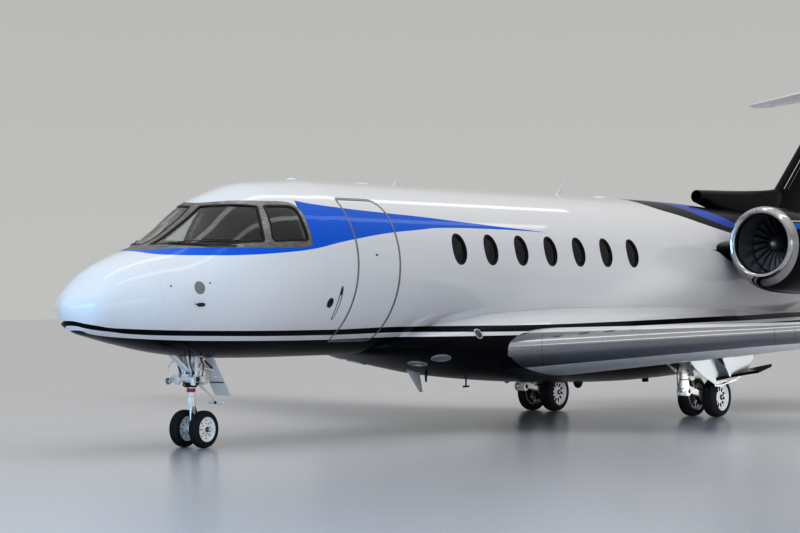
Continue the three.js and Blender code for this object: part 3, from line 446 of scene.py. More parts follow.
def dense(line):
    """A closed outline with points added along its long edges."""
    made = []
    for a, b in zip(line, np.roll(line, -1, axis=0)):
        count = max(int(np.linalg.norm(b - a) / OUTLINE_STEP), 1)
        made += [a + (b - a) * k / count for k in range(count)]
    return np.array(made)


def grown(line, distance):
    """A closed convex outline moved outwards."""
    after, before = np.roll(line, -1, axis=0), np.roll(line, 1, axis=0)
    along = after - before
    normal = np.stack([along[:, 1], -along[:, 0]], axis=1)
    normal /= np.maximum(np.linalg.norm(normal, axis=1, keepdims=True), 1e-9)
    outward = np.sign(np.sum(normal * (line - line.mean(axis=0))))
    return line + normal * outward * distance


class Skin:
    """A patch of a body's skin, drawn in two directions across a line of sight."""

    def __init__(self, body, origin, direction, reach=0.9):
        self.body, self.reach = body, reach
        self.along = np.array(Vector(direction).normalized())
        flat = np.array([1.0, 0, 0]) if abs(self.along[0]) < 0.9 else np.array([0, 1.0, 0])
        self.across = flat - self.along * flat.dot(self.along)
        self.across /= np.linalg.norm(self.across)
        self.up = np.cross(self.along, self.across)
        if self.up[2] < 0:
            self.up = -self.up
        self.origin = np.array(origin, float)

    def flat(self, points):
        """Places in the frame, in the patch's two directions."""
        offset = np.asarray(points, float) - self.origin
        return np.stack([offset @ self.across, offset @ self.up], axis=1)

    def plane(self, line, depth=0.0):
        """Points of an outline on the plane across the line of sight."""
        return self.origin + line[:, :1] * self.across + line[:, 1:] * self.up + self.along * depth

    def lay(self, line, lift=0.0):
        """Points of an outline laid on the skin, then lifted off it or sunk below it."""
        base = self.plane(np.asarray(line))
        far, near = np.full(len(base), self.reach), np.full(len(base), -self.reach)
        for _ in range(40):
            middle = (far + near) / 2
            outside = self.body.field(base + middle[:, None] * self.along) > 0
            far, near = np.where(outside, middle, far), np.where(outside, near, middle)
        points = base + near[:, None] * self.along
        return points + gradient(self.body.field, points) * lift

    def prism(self, line, inwards=0.35, outwards=0.6):
        """A cutter through the skin."""
        return loft([self.plane(line, -inwards), self.plane(line, outwards)])

    def strip(self, inner, outer, lift, depth):
        """A closed band between two outlines."""
        rings = [self.lay(line, rise) for line, rise in
                 ((outer, lift), (inner, lift), (inner, -depth), (outer, -depth))]
        sides = len(inner)
        points, faces = np.vstack(rings), quads(4, sides)
        faces += [(3 * sides + a, 3 * sides + (a + 1) % sides, (a + 1) % sides, a) for a in range(sides)]
        return points, faces

    def sheet(self, line, lift, thickness, loops=8):
        """A closed pane inside an outline."""
        middle = line.mean(axis=0)
        shares = np.linspace(1, 0.06, loops)
        outer = [self.lay(middle + (line - middle) * s, lift) for s in shares]
        inner = [self.lay(middle + (line - middle) * s, lift - thickness) for s in shares]
        sides = len(line)
        points = np.vstack(outer + inner)
        faces = quads(loops, sides)
        low = loops * sides
        faces += [tuple(i + low for i in f[::-1]) for f in quads(loops, sides)]
        faces += [tuple(range(low - sides, low)), tuple(range(2 * low - sides, 2 * low))[::-1]]
        faces += [(a, (a + 1) % sides, low + (a + 1) % sides, low + a) for a in range(sides)]
        return points, faces


# Pieces


def new_object(name, part):
    """An object from points and faces, its faces looking outwards."""
    points, faces = part
    mesh = bpy.data.meshes.new(name)
    mesh.from_pydata(np.asarray(points).tolist(), [], [tuple(map(int, f)) for f in faces])
    bm = bmesh.new()
    bm.from_mesh(mesh)
    bmesh.ops.remove_doubles(bm, verts=bm.verts, dist=1e-6)
    bmesh.ops.recalc_face_normals(bm, faces=bm.faces)
    bm.to_mesh(mesh)
    bm.free()
    made = bpy.data.objects.new(name, mesh)
    bpy.context.scene.collection.objects.link(made)
    return made


def settle(target):
    """Applies a piece's modifiers."""
    graph = bpy.context.evaluated_depsgraph_get()
    made = bpy.data.meshes.new_from_object(target.evaluated_get(graph))
    old = target.data
    target.modifiers.clear()
    target.data = made
    bpy.data.meshes.remove(old)


def carve(target, part, operation="DIFFERENCE"):
    """Cuts a piece with a closed part, or keeps what lies inside it."""
    cutter = new_object("cutter", part)
    step = target.modifiers.new("cut", "BOOLEAN")
    step.operation, step.object, step.solver = operation, cutter, "EXACT"
    settle(target)
    mesh = cutter.data
    bpy.data.objects.remove(cutter)
    bpy.data.meshes.remove(mesh)


def shade(target, field=None, angle=35, backs=False):
    """Smooth shading, by the true normals of a field where a face follows it."""
    mesh = target.data
    mesh.shade_smooth()
    if field is None:
        mesh.set_sharp_from_angle(angle=math.radians(angle))
        return
    places = np.zeros(len(mesh.vertices) * 3)
    mesh.vertices.foreach_get("co", places)
    corners = np.zeros(len(mesh.loops), np.int64)
    mesh.loops.foreach_get("vertex_index", corners)
    face_normals = np.zeros(len(mesh.polygons) * 3)
    mesh.polygons.foreach_get("normal", face_normals)
    totals = np.zeros(len(mesh.polygons), np.int64)
    mesh.polygons.foreach_get("loop_total", totals)
    flat = np.repeat(face_normals.reshape(-1, 3), totals, axis=0)
    true = gradient(field, places.reshape(-1, 3))[corners]
    match = np.sum(flat * true, axis=1)
    follows = np.where(match > 0.8, 1, np.where((match < -0.8) & backs, -1, 0))[:, None]
    normals = np.where(follows != 0, true * follows, flat)
    mesh.normals_split_custom_set(normals.tolist())


def finish(target, materials, body="airframe", replaces=(), pick=None):
    """Gives a piece its materials by name, and puts it on its body. pick says which faces take the second."""
    names = [materials] if isinstance(materials, str) else materials
    target.data.materials.clear()
    for name in names:
        target.data.materials.append(M[name])
    for polygon in target.data.polygons:
        polygon.material_index = int(pick(polygon)) if pick else 0
    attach(target, body)
    if replaces:
        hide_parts(*replaces)
    return target


def piece(name, part, materials, body="airframe", replaces=(), field=None, angle=35, pick=None,
          backs=False):
    """A new object, shaded by angle or by a field, with its materials, on its body."""
    made = new_object(name, part)
    shade(made, field, angle, backs)
    return finish(made, materials, body, replaces, pick)


# Materials


class Num:
    """A number in a material's nodes, so that masks read as sums."""

    def __init__(self, paint, socket):
        self.paint, self.socket = paint, socket

    def __add__(self, other):
        return self.paint.math("ADD", self, other)

    __radd__ = __add__

    def __sub__(self, other):
        return self.paint.math("SUBTRACT", self, other)

    def __rsub__(self, other):
        return self.paint.math("SUBTRACT", other, self)

    def __mul__(self, other):
        return self.paint.math("MULTIPLY", self, other)

    __rmul__ = __mul__

    def __abs__(self):
        return self.paint.math("ABSOLUTE", self)


class Paint:
    """A Principled material drawn in the row frame's coordinates."""

    def __init__(self, name, **settings):
        self.material = bpy.data.materials.new(name)
        self.material.use_nodes = True
        self.tree = self.material.node_tree
        self.shader = self.tree.nodes["Principled BSDF"]
        coordinates = self.tree.nodes.new("ShaderNodeTexCoord")
        self.place = coordinates.outputs["Object"]
        split = self.tree.nodes.new("ShaderNodeSeparateXYZ")
        self.tree.links.new(self.place, split.inputs[0])
        self.x, self.y, self.z = (Num(self, out) for out in split.outputs)
        self.station = self.x + SHIFT
        for key, value in settings.items():
            self.set(key.replace("_", " ").title().replace("Ior", "IOR"), value)

    def link(self, socket, value):
        """Joins a number or socket to an input, or sets the input to a constant."""
        if isinstance(value, Num):
            self.tree.links.new(value.socket, socket)
        elif isinstance(value, bpy.types.NodeSocket):
            self.tree.links.new(value, socket)
        else:
            socket.default_value = value

    def set(self, name, value):
        """Sets an input of the Principled shader."""
        if isinstance(value, tuple) and len(value) == 3:
            value = (*value, 1)
        self.link(self.shader.inputs[name], value)

    def math(self, operation, a, b=0.0, clamp=False):
        node = self.tree.nodes.new("ShaderNodeMath")
        node.operation, node.use_clamp = operation, clamp
        self.link(node.inputs[0], a)
        self.link(node.inputs[1], b)
        return Num(self, node.outputs[0])

    def above(self, a, b, width=0.004):
        """1 where a is more than b, with a soft edge."""
        return self.math("ADD", self.math("MULTIPLY", a - b, 1 / width), 0.5, clamp=True)

    def between(self, value, low, high):
        """1 from low to high."""
        return self.above(value, low) * self.above(high, value)

    def line(self, value, place, half):
        """1 within half of a place."""
        return self.above(half, abs(value - place), 0.003)

    def lines(self, value, places, half):
        """1 within half of any of the places."""
        made = self.line(value, places[0], half)
        for place in places[1:]:
            made = self.either(made, self.line(value, place, half))
        return made

    def either(self, a, b):
        return self.math("MAXIMUM", a, b)

    def curve(self, station, points):
        """A height by station, smooth through points in metres."""
        node = self.tree.nodes.new("ShaderNodeFloatCurve")
        line = node.mapping.curves[0]
        spots = [(math.sqrt(s / LENGTH), h / HEIGHT) for s, h in points]
        line.points[0].location, line.points[1].location = spots[0], spots[-1]
        for x, y in spots[1:-1]:
            line.points.new(x, y)
        for point in line.points:
            point.handle_type = "AUTO_CLAMPED"
        node.mapping.update()
        share = self.math("MULTIPLY", station, 1 / LENGTH, clamp=True)
        self.link(node.inputs["Value"], self.math("SQRT", share))
        return Num(self, node.outputs[0]) * HEIGHT

    def noise(self, scale, detail=3.0, roughness=0.5, stretch=None):
        node = self.tree.nodes.new("ShaderNodeTexNoise")
        node.inputs["Scale"].default_value = scale
        node.inputs["Detail"].default_value = detail
        node.inputs["Roughness"].default_value = roughness
        source = self.place
        if stretch:
            mapping = self.tree.nodes.new("ShaderNodeMapping")
            mapping.inputs["Scale"].default_value = stretch
            self.tree.links.new(self.place, mapping.inputs["Vector"])
            source = mapping.outputs[0]
        self.tree.links.new(source, node.inputs["Vector"])
        return Num(self, node.outputs["Fac"])

    def mix(self, share, a, b):
        """A colour between a and b."""
        node = self.tree.nodes.new("ShaderNodeMix")
        node.data_type = "RGBA"
        self.link(node.inputs["Factor"], share)
        for socket, value in ((node.inputs[6], a), (node.inputs[7], b)):
            self.link(socket, (*value, 1) if isinstance(value, tuple) and len(value) == 3 else value)
        return node.outputs[2]

    def bump(self, height, distance=0.001, strength=1.0):
        node = self.tree.nodes.new("ShaderNodeBump")
        node.inputs["Strength"].default_value = strength
        node.inputs["Distance"].default_value = distance
        self.link(node.inputs["Height"], height)
        self.set("Normal", node.outputs[0])


WHITE = (0.80, 0.80, 0.82)
BLACK = (0.006, 0.006, 0.008)
BLUE = (0.0, 0.145, 0.70)
DEEP_BLUE = (0.03, 0.095, 0.50)

# Heights of the paint's edges along the fuselage: pairs of station and height
BLACK_LINE_TOP = [(0.0, 1.520), (0.06, 1.512), (0.10, 1.497), (0.135, 1.483), (0.276, 1.453), (0.367, 1.438),
                  (0.62, 1.420), (1.7, 1.388), (3.72, 1.375), (5.1, 1.394), (7.5, 1.392), (9.8, 1.414),
                  (12.3, 1.450), (14.2, 1.467), (16.0, 1.492), (21.1, 1.56)]
BLACK_LINE_FOOT = [(0.0, 1.475), (0.06, 1.468), (0.11, 1.456), (0.168, 1.432), (0.323, 1.403), (0.42, 1.393),
                   (0.67, 1.363), (1.74, 1.328), (3.78, 1.310), (5.2, 1.324), (7.3, 1.311), (9.3, 1.339),
                   (12.2, 1.376), (14.2, 1.393), (16.0, 1.423), (21.1, 1.49)]
WHITE_LINE_FOOT = [(0.0, 1.42), (0.10, 1.415), (0.176, 1.402), (0.249, 1.375), (0.41, 1.345), (0.744, 1.313),
                   (1.3, 1.283), (2.24, 1.262), (3.83, 1.250), (5.28, 1.263), (7.1, 1.262), (9.3, 1.290),
                   (12.2, 1.325), (14.2, 1.343), (16.0, 1.373), (21.1, 1.43)]
BLUE_TOP = [(0.0, 2.28), (0.93, 2.28), (1.0, 2.40), (3.05, 2.45), (3.12, 2.93), (3.3, 2.905), (3.85, 2.860),
            (4.7, 2.818), (5.43, 2.788), (6.3, 2.741), (7.13, 2.696), (8.1, 2.648), (8.24, 2.640),
            (21.1, 2.0)]
BLUE_FOOT = [(0.0, 2.36), (0.93, 2.310), (1.06, 2.271), (1.34, 2.255), (1.65, 2.254), (2.0, 2.260),
             (2.51, 2.289), (3.08, 2.343), (3.62, 2.435), (3.9, 2.476), (4.63, 2.566), (5.29, 2.619),
             (5.65, 2.648), (6.78, 2.662), (8.2, 2.642), (21.1, 2.4)]
PYLON_WEDGE_FOOT = [(0.0, 2.466), (12.62, 2.466), (13.2, 2.30), (13.7, 2.25), (21.1, 2.25)]
PYLON_WEDGE_TOP = [(0.0, 2.466), (12.62, 2.466), (13.25, 2.558), (14.0, 2.60), (21.1, 2.60)]
SURROUND_FOOT = [(0.0, 2.313), (1.0, 2.313), (1.44, 2.340), (2.03, 2.348), (2.95, 2.362), (3.06, 2.385),
                 (3.12, 2.450), (3.15, 2.62), (3.17, 3.2), (21.1, 3.3)]
SURROUND_TOP = [(0.0, 2.30), (2.05, 2.83), (2.2, 2.888), (2.55, 2.914), (2.98, 2.912), (3.08, 2.885),
                (3.14, 2.80), (3.17, 2.65), (3.2, 2.3), (21.1, 2.2)]
TAIL_EDGE = [(0.0, 3.9), (11.0, 3.40), (11.5, 3.20), (11.79, 3.082), (12.29, 2.979), (12.85, 2.855),
             (13.46, 2.749), (14.4, 2.62), (16.0, 2.50), (21.1, 2.40)]
TAIL_BLUE_FOOT = [(0.0, 4.0), (11.6, 3.40), (12.1, 3.26), (12.52, 3.167), (12.71, 3.085), (13.05, 2.958),
                  (13.67, 2.821), (14.6, 2.69), (16.0, 2.57), (21.1, 2.5)]
TAIL_BLUE_TOP = [(0.0, 4.2), (11.8, 3.50), (12.6, 3.30), (13.1, 3.19), (13.47, 3.093), (14.06, 2.884),
                 (14.8, 2.75), (16.0, 2.63), (21.1, 2.55)]


def fuselage_paint():
    """White with a blue flash, a black line over a white one, a black belly and a black tail."""
    paint = Paint("fuselage_gloss_paint", specular_ior_level=0.06)
    s, z = paint.station, paint.z
    blue = paint.between(z, paint.curve(s, BLUE_FOOT), paint.curve(s, BLUE_TOP))
    line = paint.between(z, paint.curve(s, BLACK_LINE_FOOT), paint.curve(s, BLACK_LINE_TOP))
    under = paint.above(paint.curve(s, WHITE_LINE_FOOT), z)
    tail = paint.above(z, paint.curve(s, TAIL_EDGE))
    tail_blue = paint.between(z, paint.curve(s, TAIL_BLUE_FOOT), paint.curve(s, TAIL_BLUE_TOP))
    root = paint.between(z, paint.curve(s, PYLON_WEDGE_FOOT), paint.curve(s, PYLON_WEDGE_TOP))
    metal = paint.between(z, paint.curve(s, SURROUND_FOOT), paint.curve(s, SURROUND_TOP))
    metal = metal * paint.between(s, 1.0, 3.2)
    colour = paint.mix(blue, WHITE, BLUE)
    dark = paint.either(paint.either(line, under), paint.either(tail, root))
    colour = paint.mix(dark, colour, BLACK)
    colour = paint.mix(tail_blue * tail, colour, DEEP_BLUE)
    seams = paint.lines(s, (3.3, 5.25, 7.9, 10.2, 11.9, 14.2, 17.4), 0.0014) * 0.6
    seams = paint.either(paint.line(s, 0.9, 0.0018) * 0.55, seams)
    colour = paint.mix(seams * 0.35, colour, (0.10, 0.10, 0.11))
    smear = paint.noise(9.0, 4.0, 0.6, (1, 1, 3.5))
    bare = paint.mix(smear, (0.08, 0.078, 0.075), (0.44, 0.43, 0.42))
    colour = paint.mix(metal, colour, bare)
    cloud = paint.noise(1.1, 2.0) - 0.5
    dust = paint.noise(22.0, 4.0, 0.6) - 0.5
    paint.set("Base Color", paint.mix(dust * 0.03 + cloud * 0.03 + 0.004, colour, (0.42, 0.42, 0.46)))
    paint.set("Metallic", metal)
    paint.set("Roughness", metal * 0.10 + dust * 0.06 + 0.24)
    paint.set("Coat Weight", (1.0 - metal) * (1.0 - dark * 0.93) * (1.0 - blue * 0.45))
    paint.set("Coat Roughness", 0.03)
    paint.bump(paint.noise(48.0, 2.0) * 0.5 - seams * 1.2, 0.0010, 0.2)
    return paint.material


# The foot and top of the blue line and of the white line along the nacelle
NACELLE_LINES = (
    ([(0, 2.70), (12.9, 2.775), (13.5, 2.76), (16.4, 2.62), (21.1, 2.5)],
     [(0, 2.82), (12.9, 2.865), (13.5, 2.86), (16.4, 2.64), (21.1, 2.52)]),
    ([(0, 2.87), (12.9, 2.885), (13.5, 2.885), (16.4, 2.66), (21.1, 2.54)],
     [(0, 2.88), (12.9, 2.90), (13.5, 2.90), (16.4, 2.67), (21.1, 2.55)]),
)


def black_paint():
    """Gloss black, with a blue and a white line along the nacelle and pale lines up the fin."""
    paint = Paint("black_gloss_paint", specular_ior_level=0.08, coat_weight=0.16, coat_roughness=0.03)
    s, z, y = paint.station, paint.z, abs(paint.y)
    nacelle = paint.above(y, 1.0)
    blue, white = (paint.between(z, *(paint.curve(s, edge) for edge in edges)) for edges in NACELLE_LINES)
    edge = s - (z - 3.55) * 1.155 - 16.66
    fin = paint.above(z, 3.56) * paint.above(0.9, y)
    pale = (paint.line(edge, 0.10, 0.011) * 0.9 + paint.line(edge, 0.20, 0.005) * 0.6) * fin
    colour = paint.mix(blue * nacelle, BLACK, BLUE)
    colour = paint.mix(paint.either(white * nacelle, pale), colour, (0.70, 0.71, 0.73))
    dust = paint.noise(22.0, 4.0, 0.6) - 0.5
    paint.set("Base Color", paint.mix(dust * 0.02 + 0.004, colour, (0.2, 0.2, 0.22)))
    paint.set("Roughness", dust * 0.08 + 0.2)
    paint.bump(paint.noise(55.0, 2.0), 0.0012, 0.16)
    return paint.material


# Where the belly's black ends on the wing: pairs of station and distance across
WING_ROOT = [(0.0, 1.10), (6.80, 1.17), (6.911, 1.214), (6.964, 1.241), (7.173, 1.226), (7.544, 1.20),
             (8.09, 1.096), (9.24, 0.84), (21.1, 0.8)]


def black_root(paint):
    """Where the wing's skin carries on the black of the belly, below its leading edge."""
    return paint.above(paint.curve(paint.station, WING_ROOT), abs(paint.y)) * paint.above(1.06, paint.z)


def wing_paint():
    """Satin grey wing skin with panel joints and rows of fasteners."""
    paint = Paint("wing_satin_paint")
    s, y = paint.station, abs(paint.y)
    swept = s - y * 0.6
    seams = paint.either(paint.line(swept, 6.66, 0.002), paint.lines(swept, (7.55, 8.6), 0.0016))
    seams = paint.either(seams, paint.lines(y, (2.2, 3.6, 5.0, 6.28, 7.6, 9.0), 0.0016))
    cloud = paint.noise(1.6, 3.0) - 0.5
    dust = paint.noise(30.0, 4.0, 0.6) - 0.5
    colour = paint.mix(cloud * 0.25 + dust * 0.12 + 0.2, (0.86, 0.88, 0.90), (0.68, 0.69, 0.71))
    colour = paint.mix(seams * 0.55, colour, (0.12, 0.12, 0.13))
    paint.set("Base Color", paint.mix(black_root(paint), colour, BLACK))
    paint.set("Roughness", dust * 0.15 + 0.34)
    paint.set("Coat Weight", 0.4)
    paint.set("Coat Roughness", 0.15)
    paint.bump(paint.noise(70.0, 2.0) * 0.3 - seams, 0.0012, 0.3)
    return paint.material


def polished_metal(name, bright, dull):
    """Bare metal rubbed along the span, with a joint every metre or two."""
    paint = Paint(name, specular_ior_level=0.1)
    along = paint.station * 0.6 + abs(paint.y)
    seams = paint.lines(along, (5.88, 9.39, 9.70, 13.07, 13.41, 15.65), 0.003)
    grain = paint.noise(7.0, 5.0, 0.65, (1, 0.06, 9))
    cloud = paint.noise(1.2, 2.0)
    colour = paint.mix(grain * 0.5 + cloud * 0.3, bright, dull)
    colour = paint.mix(seams * 0.7, colour, (0.05, 0.05, 0.06))
    root = black_root(paint)
    paint.set("Base Color", paint.mix(root, colour, BLACK))
    paint.set("Metallic", 1.0 - root)
    paint.set("Roughness", grain * 0.08 + 0.07)
    paint.bump(grain * 0.4 - seams, 0.0006, 0.25)
    return paint.material


def worn(name, colour, dark, scale=14.0, amount=0.35, roughness=0.45, metallic=0.0, coat=0.0, bump=0.3):
    """A finish with soft stains and a fine texture."""
    paint = Paint(name, metallic=metallic, coat_weight=coat)
    stain = paint.noise(scale, 5.0, 0.62)
    fine = paint.noise(scale * 14, 2.0)
    share = paint.math("MULTIPLY", paint.math("SUBTRACT", stain, 0.42), amount * 4, clamp=True)
    paint.set("Base Color", paint.mix(share * amount + fine * 0.06, colour, dark))
    paint.set("Roughness", stain * 0.22 + (roughness - 0.1))
    paint.bump(fine, 0.0008, bump)
    return paint.material


def glass(name, tint, specular=0.5):
    """Clear tinted glass with a faint smear."""
    paint = Paint(name, ior=1.45, transmission_weight=1.0, specular_ior_level=specular)
    smear = paint.noise(3.0, 3.0)
    paint.set("Base Color", paint.mix(smear * 0.3, tint, tuple(c * 0.8 for c in tint)))
    paint.set("Roughness", smear * 0.01)
    return paint.material


def tyre_rubber():
    """Black rubber with a dusty tread and faint rings round its wall."""
    paint = Paint("tyre_rubber")
    dust = paint.noise(18.0, 5.0, 0.65)
    paint.set("Base Color", paint.mix(dust * 0.5, (0.010, 0.010, 0.011), (0.045, 0.044, 0.043)))
    paint.set("Roughness", dust * 0.2 + 0.62)
    paint.bump(paint.noise(220.0, 2.0), 0.0006, 0.4)
    return paint.material


def leather():
    """Tan seat leather with a fine grain."""
    paint = Paint("seat_leather")
    grain = paint.noise(210.0, 3.0, 0.6)
    wear = paint.noise(5.0, 3.0)
    paint.set("Base Color", paint.mix(wear * 0.5 + grain * 0.12, (0.66, 0.57, 0.44), (0.46, 0.38, 0.28)))
    paint.set("Roughness", grain * 0.2 + 0.42)
    paint.bump(grain, 0.0012, 0.35)
    return paint.material


def heated_metal():
    """Nozzle metal, browned and blued by heat towards its rear."""
    paint = Paint("heated_nozzle_metal", metallic=1.0)
    heat = paint.math("MULTIPLY", paint.station - 15.3, 1.1, clamp=True)
    streak = paint.noise(8.0, 5.0, 0.6, (0.25, 1, 1))
    colour = paint.mix(heat, (0.34, 0.34, 0.35), (0.24, 0.17, 0.12))
    paint.set("Base Color", paint.mix(streak * 0.6, colour, (0.16, 0.15, 0.18)))
    paint.set("Roughness", streak * 0.25 + 0.26)
    paint.bump(paint.noise(60.0, 3.0), 0.0008, 0.25)
    return paint.material


M = {
    "fuselage": fuselage_paint(),
    "black": black_paint(),
    "wing": wing_paint(),
    # The leading edge's metal is a darker copy of the intake lip's metal: painted shade standing for the
    # darker surroundings it reflects.
    "polished": polished_metal("polished_leading_edge_painted_shade", (0.40, 0.41, 0.43), (0.26, 0.27, 0.295)),
    "polished_lip": polished_metal("polished_intake_lip", (0.56, 0.56, 0.57), (0.40, 0.41, 0.43)),
    "glass": glass("cockpit_glass", (0.80, 0.86, 0.84), specular=0.22),
    "cabin_glass": glass("cabin_window_glass", (0.16, 0.17, 0.18), specular=0.3),
    "lens": glass("clear_lens", (0.92, 0.94, 0.96)),
    "seal": worn("black_sealant", (0.008, 0.008, 0.009), (0.03, 0.03, 0.03), 20, 0.3, 0.45),
    "plate": worn("bare_plate", (0.36, 0.36, 0.37), (0.20, 0.20, 0.21), 30, 0.5, 0.4, 0.6),
    "trim_metal": worn("grey_trim", (0.27, 0.285, 0.31), (0.14, 0.14, 0.15), 9, 0.4, 0.35, 0.4),
    "gear": worn("gear_enamel", (0.90, 0.86, 0.81), (0.42, 0.39, 0.35), 16, 0.25, 0.33, 0.0, 0.5),
    "gear_dark": worn("gear_dark_parts", (0.035, 0.036, 0.04), (0.10, 0.10, 0.09), 20, 0.3, 0.5, 0.3),
    "chrome": worn("hard_chrome", (0.72, 0.73, 0.75), (0.45, 0.45, 0.47), 12, 0.2, 0.2, 1.0),
    "hub": worn("hub_silver", (0.78, 0.79, 0.81), (0.36, 0.36, 0.36), 22, 0.25, 0.3, 0.45, 0.3),
    "hub_white": worn("hub_white_enamel", (0.86, 0.87, 0.88), (0.45, 0.43, 0.40), 22, 0.2, 0.33, 0.0, 0.4),
    "tyre": tyre_rubber(),
    "red": worn("red_band", (0.42, 0.035, 0.045), (0.16, 0.02, 0.03), 20, 0.3, 0.4),
    # On the fairing lamp bowls this bright white is a painted reflection standing in for their silvered
    # surface.
    "bright": worn("bright_white", (0.96, 0.92, 0.89), (0.84, 0.80, 0.77), 12, 0.1, 0.25, 0.0, 0.8),
    "pale_blue": worn("pale_door_enamel", (0.83, 0.83, 0.83), (0.62, 0.63, 0.64), 8, 0.2, 0.35, 0.0, 0.4),
    "white": worn("white_enamel", (0.80, 0.80, 0.81), (0.5, 0.5, 0.5), 12, 0.15, 0.32, 0.0, 0.5),
    "door_grey": worn("satin_grey", (0.66, 0.69, 0.70), (0.50, 0.52, 0.53), 6, 0.3, 0.38, 0.0, 0.3),
    "lining": worn("cabin_lining", (0.50, 0.48, 0.45), (0.36, 0.34, 0.31), 8, 0.3, 0.7),
    "trim": worn("dark_trim", (0.045, 0.045, 0.05), (0.09, 0.088, 0.085), 30, 0.4, 0.7),
    "leather": leather(),
    "fan": worn("fan_titanium", (0.30, 0.31, 0.33), (0.12, 0.12, 0.13), 14, 0.3, 0.34, 0.9),
    "duct": worn("duct_liner", (0.40, 0.41, 0.405), (0.20, 0.205, 0.205), 10, 0.4, 0.30, 0.7),
    "nozzle": heated_metal(),
    "carpet": worn("cabin_carpet", (0.20, 0.18, 0.16), (0.12, 0.11, 0.10), 60, 0.4, 0.9, bump=0.6),
    "screen": worn("dark_screen", (0.006, 0.007, 0.009), (0.02, 0.022, 0.03), 12, 0.3, 0.15, 0.0, 0.6, 0.05),
}


# Camera and stage

CAMERA_PLACE = (-28.86, -18.456, 1.848)
CAMERA_YAW, CAMERA_PITCH = 37.015, 0.597
CAMERA_LENS = 104.69
FLOOR_HALF = 90.0


def add_camera():
    """The camera at the photo's place, angle and lens."""
    data = bpy.data.cameras.new("camera")
    data.lens, data.sensor_width = CAMERA_LENS, 36
    data.clip_start, data.clip_end = 0.5, 300
    camera = bpy.data.objects.new("camera", data)
    yaw, pitch = math.radians(CAMERA_YAW), math.radians(CAMERA_PITCH)
    forward = Vector((math.cos(yaw) * math.cos(pitch), math.sin(yaw) * math.cos(pitch), math.sin(pitch)))
    camera.location = CAMERA_PLACE
    camera.rotation_mode = "QUATERNION"
    camera.rotation_quaternion = forward.to_track_quat("-Z", "Y")
    bpy.context.scene.collection.objects.link(camera)
    bpy.context.scene.camera = camera


def add_lamp(name, place, aim, size, power, colour=(1, 1, 1)):
    """A soft lamp at a place, facing its aim."""
    data = bpy.data.lights.new(name, "AREA")
    data.shape = "RECTANGLE"
    data.size, data.size_y = size
    data.energy, data.color = power, colour
    lamp = bpy.data.objects.new(name, data)
    lamp.location = place
    lamp.rotation_mode = "QUATERNION"
    lamp.rotation_quaternion = (Vector(aim) - Vector(place)).to_track_quat("-Z", "Y")
    bpy.context.scene.collection.objects.link(lamp)
    return lamp


def add_stage():
    """A pale floor, a soft grey surround and large soft lamps."""
    half = FLOOR_HALF
    corners = np.array([(-half, -half, 0), (half, -half, 0), (half, half, 0), (-half, half, 0)])
    floor = new_object("floor", (corners, [(0, 1, 2, 3)]))
    paint = Paint("pale_floor", roughness=0.22)
    cloud = paint.noise(0.35, 3.0)
    paint.set("Base Color", paint.mix(cloud * 0.4, (0.60, 0.60, 0.635), (0.55, 0.55, 0.585)))
    floor.data.materials.append(paint.material)
    view = bpy.context.scene.view_settings
    view.view_transform, view.look = "Standard", "High Contrast"
    world = bpy.data.worlds.new("studio")
    bpy.context.scene.world = world
    world.use_nodes = True
    tree = world.node_tree
    kinds = ("TexCoord", "SeparateXYZ", "ValToRGB")
    where, split, ramp = (tree.nodes.new(f"ShaderNode{kind}") for kind in kinds)
    tree.links.new(where.outputs["Generated"], split.inputs[0])
    tree.links.new(split.outputs[2], ramp.inputs[0])
    tree.links.new(ramp.outputs[0], tree.nodes["Background"].inputs[0])
    stops = ramp.color_ramp.elements
    stops[0].color, stops[1].color = (0.415, 0.415, 0.405, 1), (0.78, 0.77, 0.75, 1)
    stops.new(0.30).color = (0.36, 0.36, 0.355, 1)
    for name, y in (("near", -4.2), ("far", 1.0)):
        add_lamp(f"overhead_{name}", (0, y, 10.5), (0, y * 0.4, 0), (21, 0.9), 64)
    add_lamp("doorway", (-27, -4, 4.8), (-7, 0, 1.6), (15, 8), 1270, (0.22, 0.59, 1.0))
    add_lamp("low_fill", (-16, -27, 3.4), (-4, 0, 1), (18, 6), 240, (0.90, 0.96, 1.0))
    for name, place, aim, watts in (("nose_gear", (-12, -13, 0.7), (-8.4, 0, 0.3), 3),
                                    ("main_gear", (-3, -9.5, 0.7), (0.8, -1.5, 0.3), 16)):
        fill = add_lamp(f"{name}_fill", place, aim, (2.4, 1.0), watts)
        fill.data.spread = math.radians(26)
        fill.visible_glossy = fill.visible_camera = False


add_camera()
add_stage()

# Fuselage

HULL_SIDES = 112
RADOME_END, COCKPIT_END, FORWARD_END, CABIN_END, TAIL_END = 0.9, 3.74, 5.25, 11.9, 19.6

EXHAUST_Z = 2.90
# The door's corners in station and height, the gap round it, and how far its cutter reaches from the middle
DOOR_CORNERS = [(3.88, 1.25), (4.69, 1.25), (4.72, 2.955), (3.925, 2.955)]
DOOR_RADII = (0.03, 0.05, 0.16, 0.03)
DOOR_GAP, DOOR_REACH = 0.006, (-0.2, 1.5)
WINDOW_STATIONS = [6.033 + 0.709 * i for i in range(7)]
WINDOW_Z, WINDOW_HALF = 2.383, (0.156, 0.203)

# Cockpit panes on the starboard side: corners in the row frame, and the way each one faces
PANES = {
    "windshield": (
        [(1.265, 0.070, 2.378), (1.738, 0.641, 2.357), (2.375, 0.895, 2.415), (2.565, 0.615, 2.847),
         (2.264, 0.354, 2.847), (2.150, 0.065, 2.842)],
        (-0.6, 0.45, 0.66),
        (0.02, 1.0, 0.05, 0.03, 1.0, 0.04),
    ),
    "side_window": (
        [(2.478, 0.918, 2.418), (3.050, 1.004, 2.440), (3.085, 0.745, 2.862), (2.633, 0.635, 2.855)],
        (-0.05, 0.9, 0.42),
        (0.05, 0.05, 0.10, 0.03),
    ),
}


def lining_faces(polygon):
    """True for faces on the inside of the fuselage wall."""
    c = np.array([polygon.center[:]])
    return float(np.dot(gradient(hull.field, c)[0], polygon.normal)) < -0.3


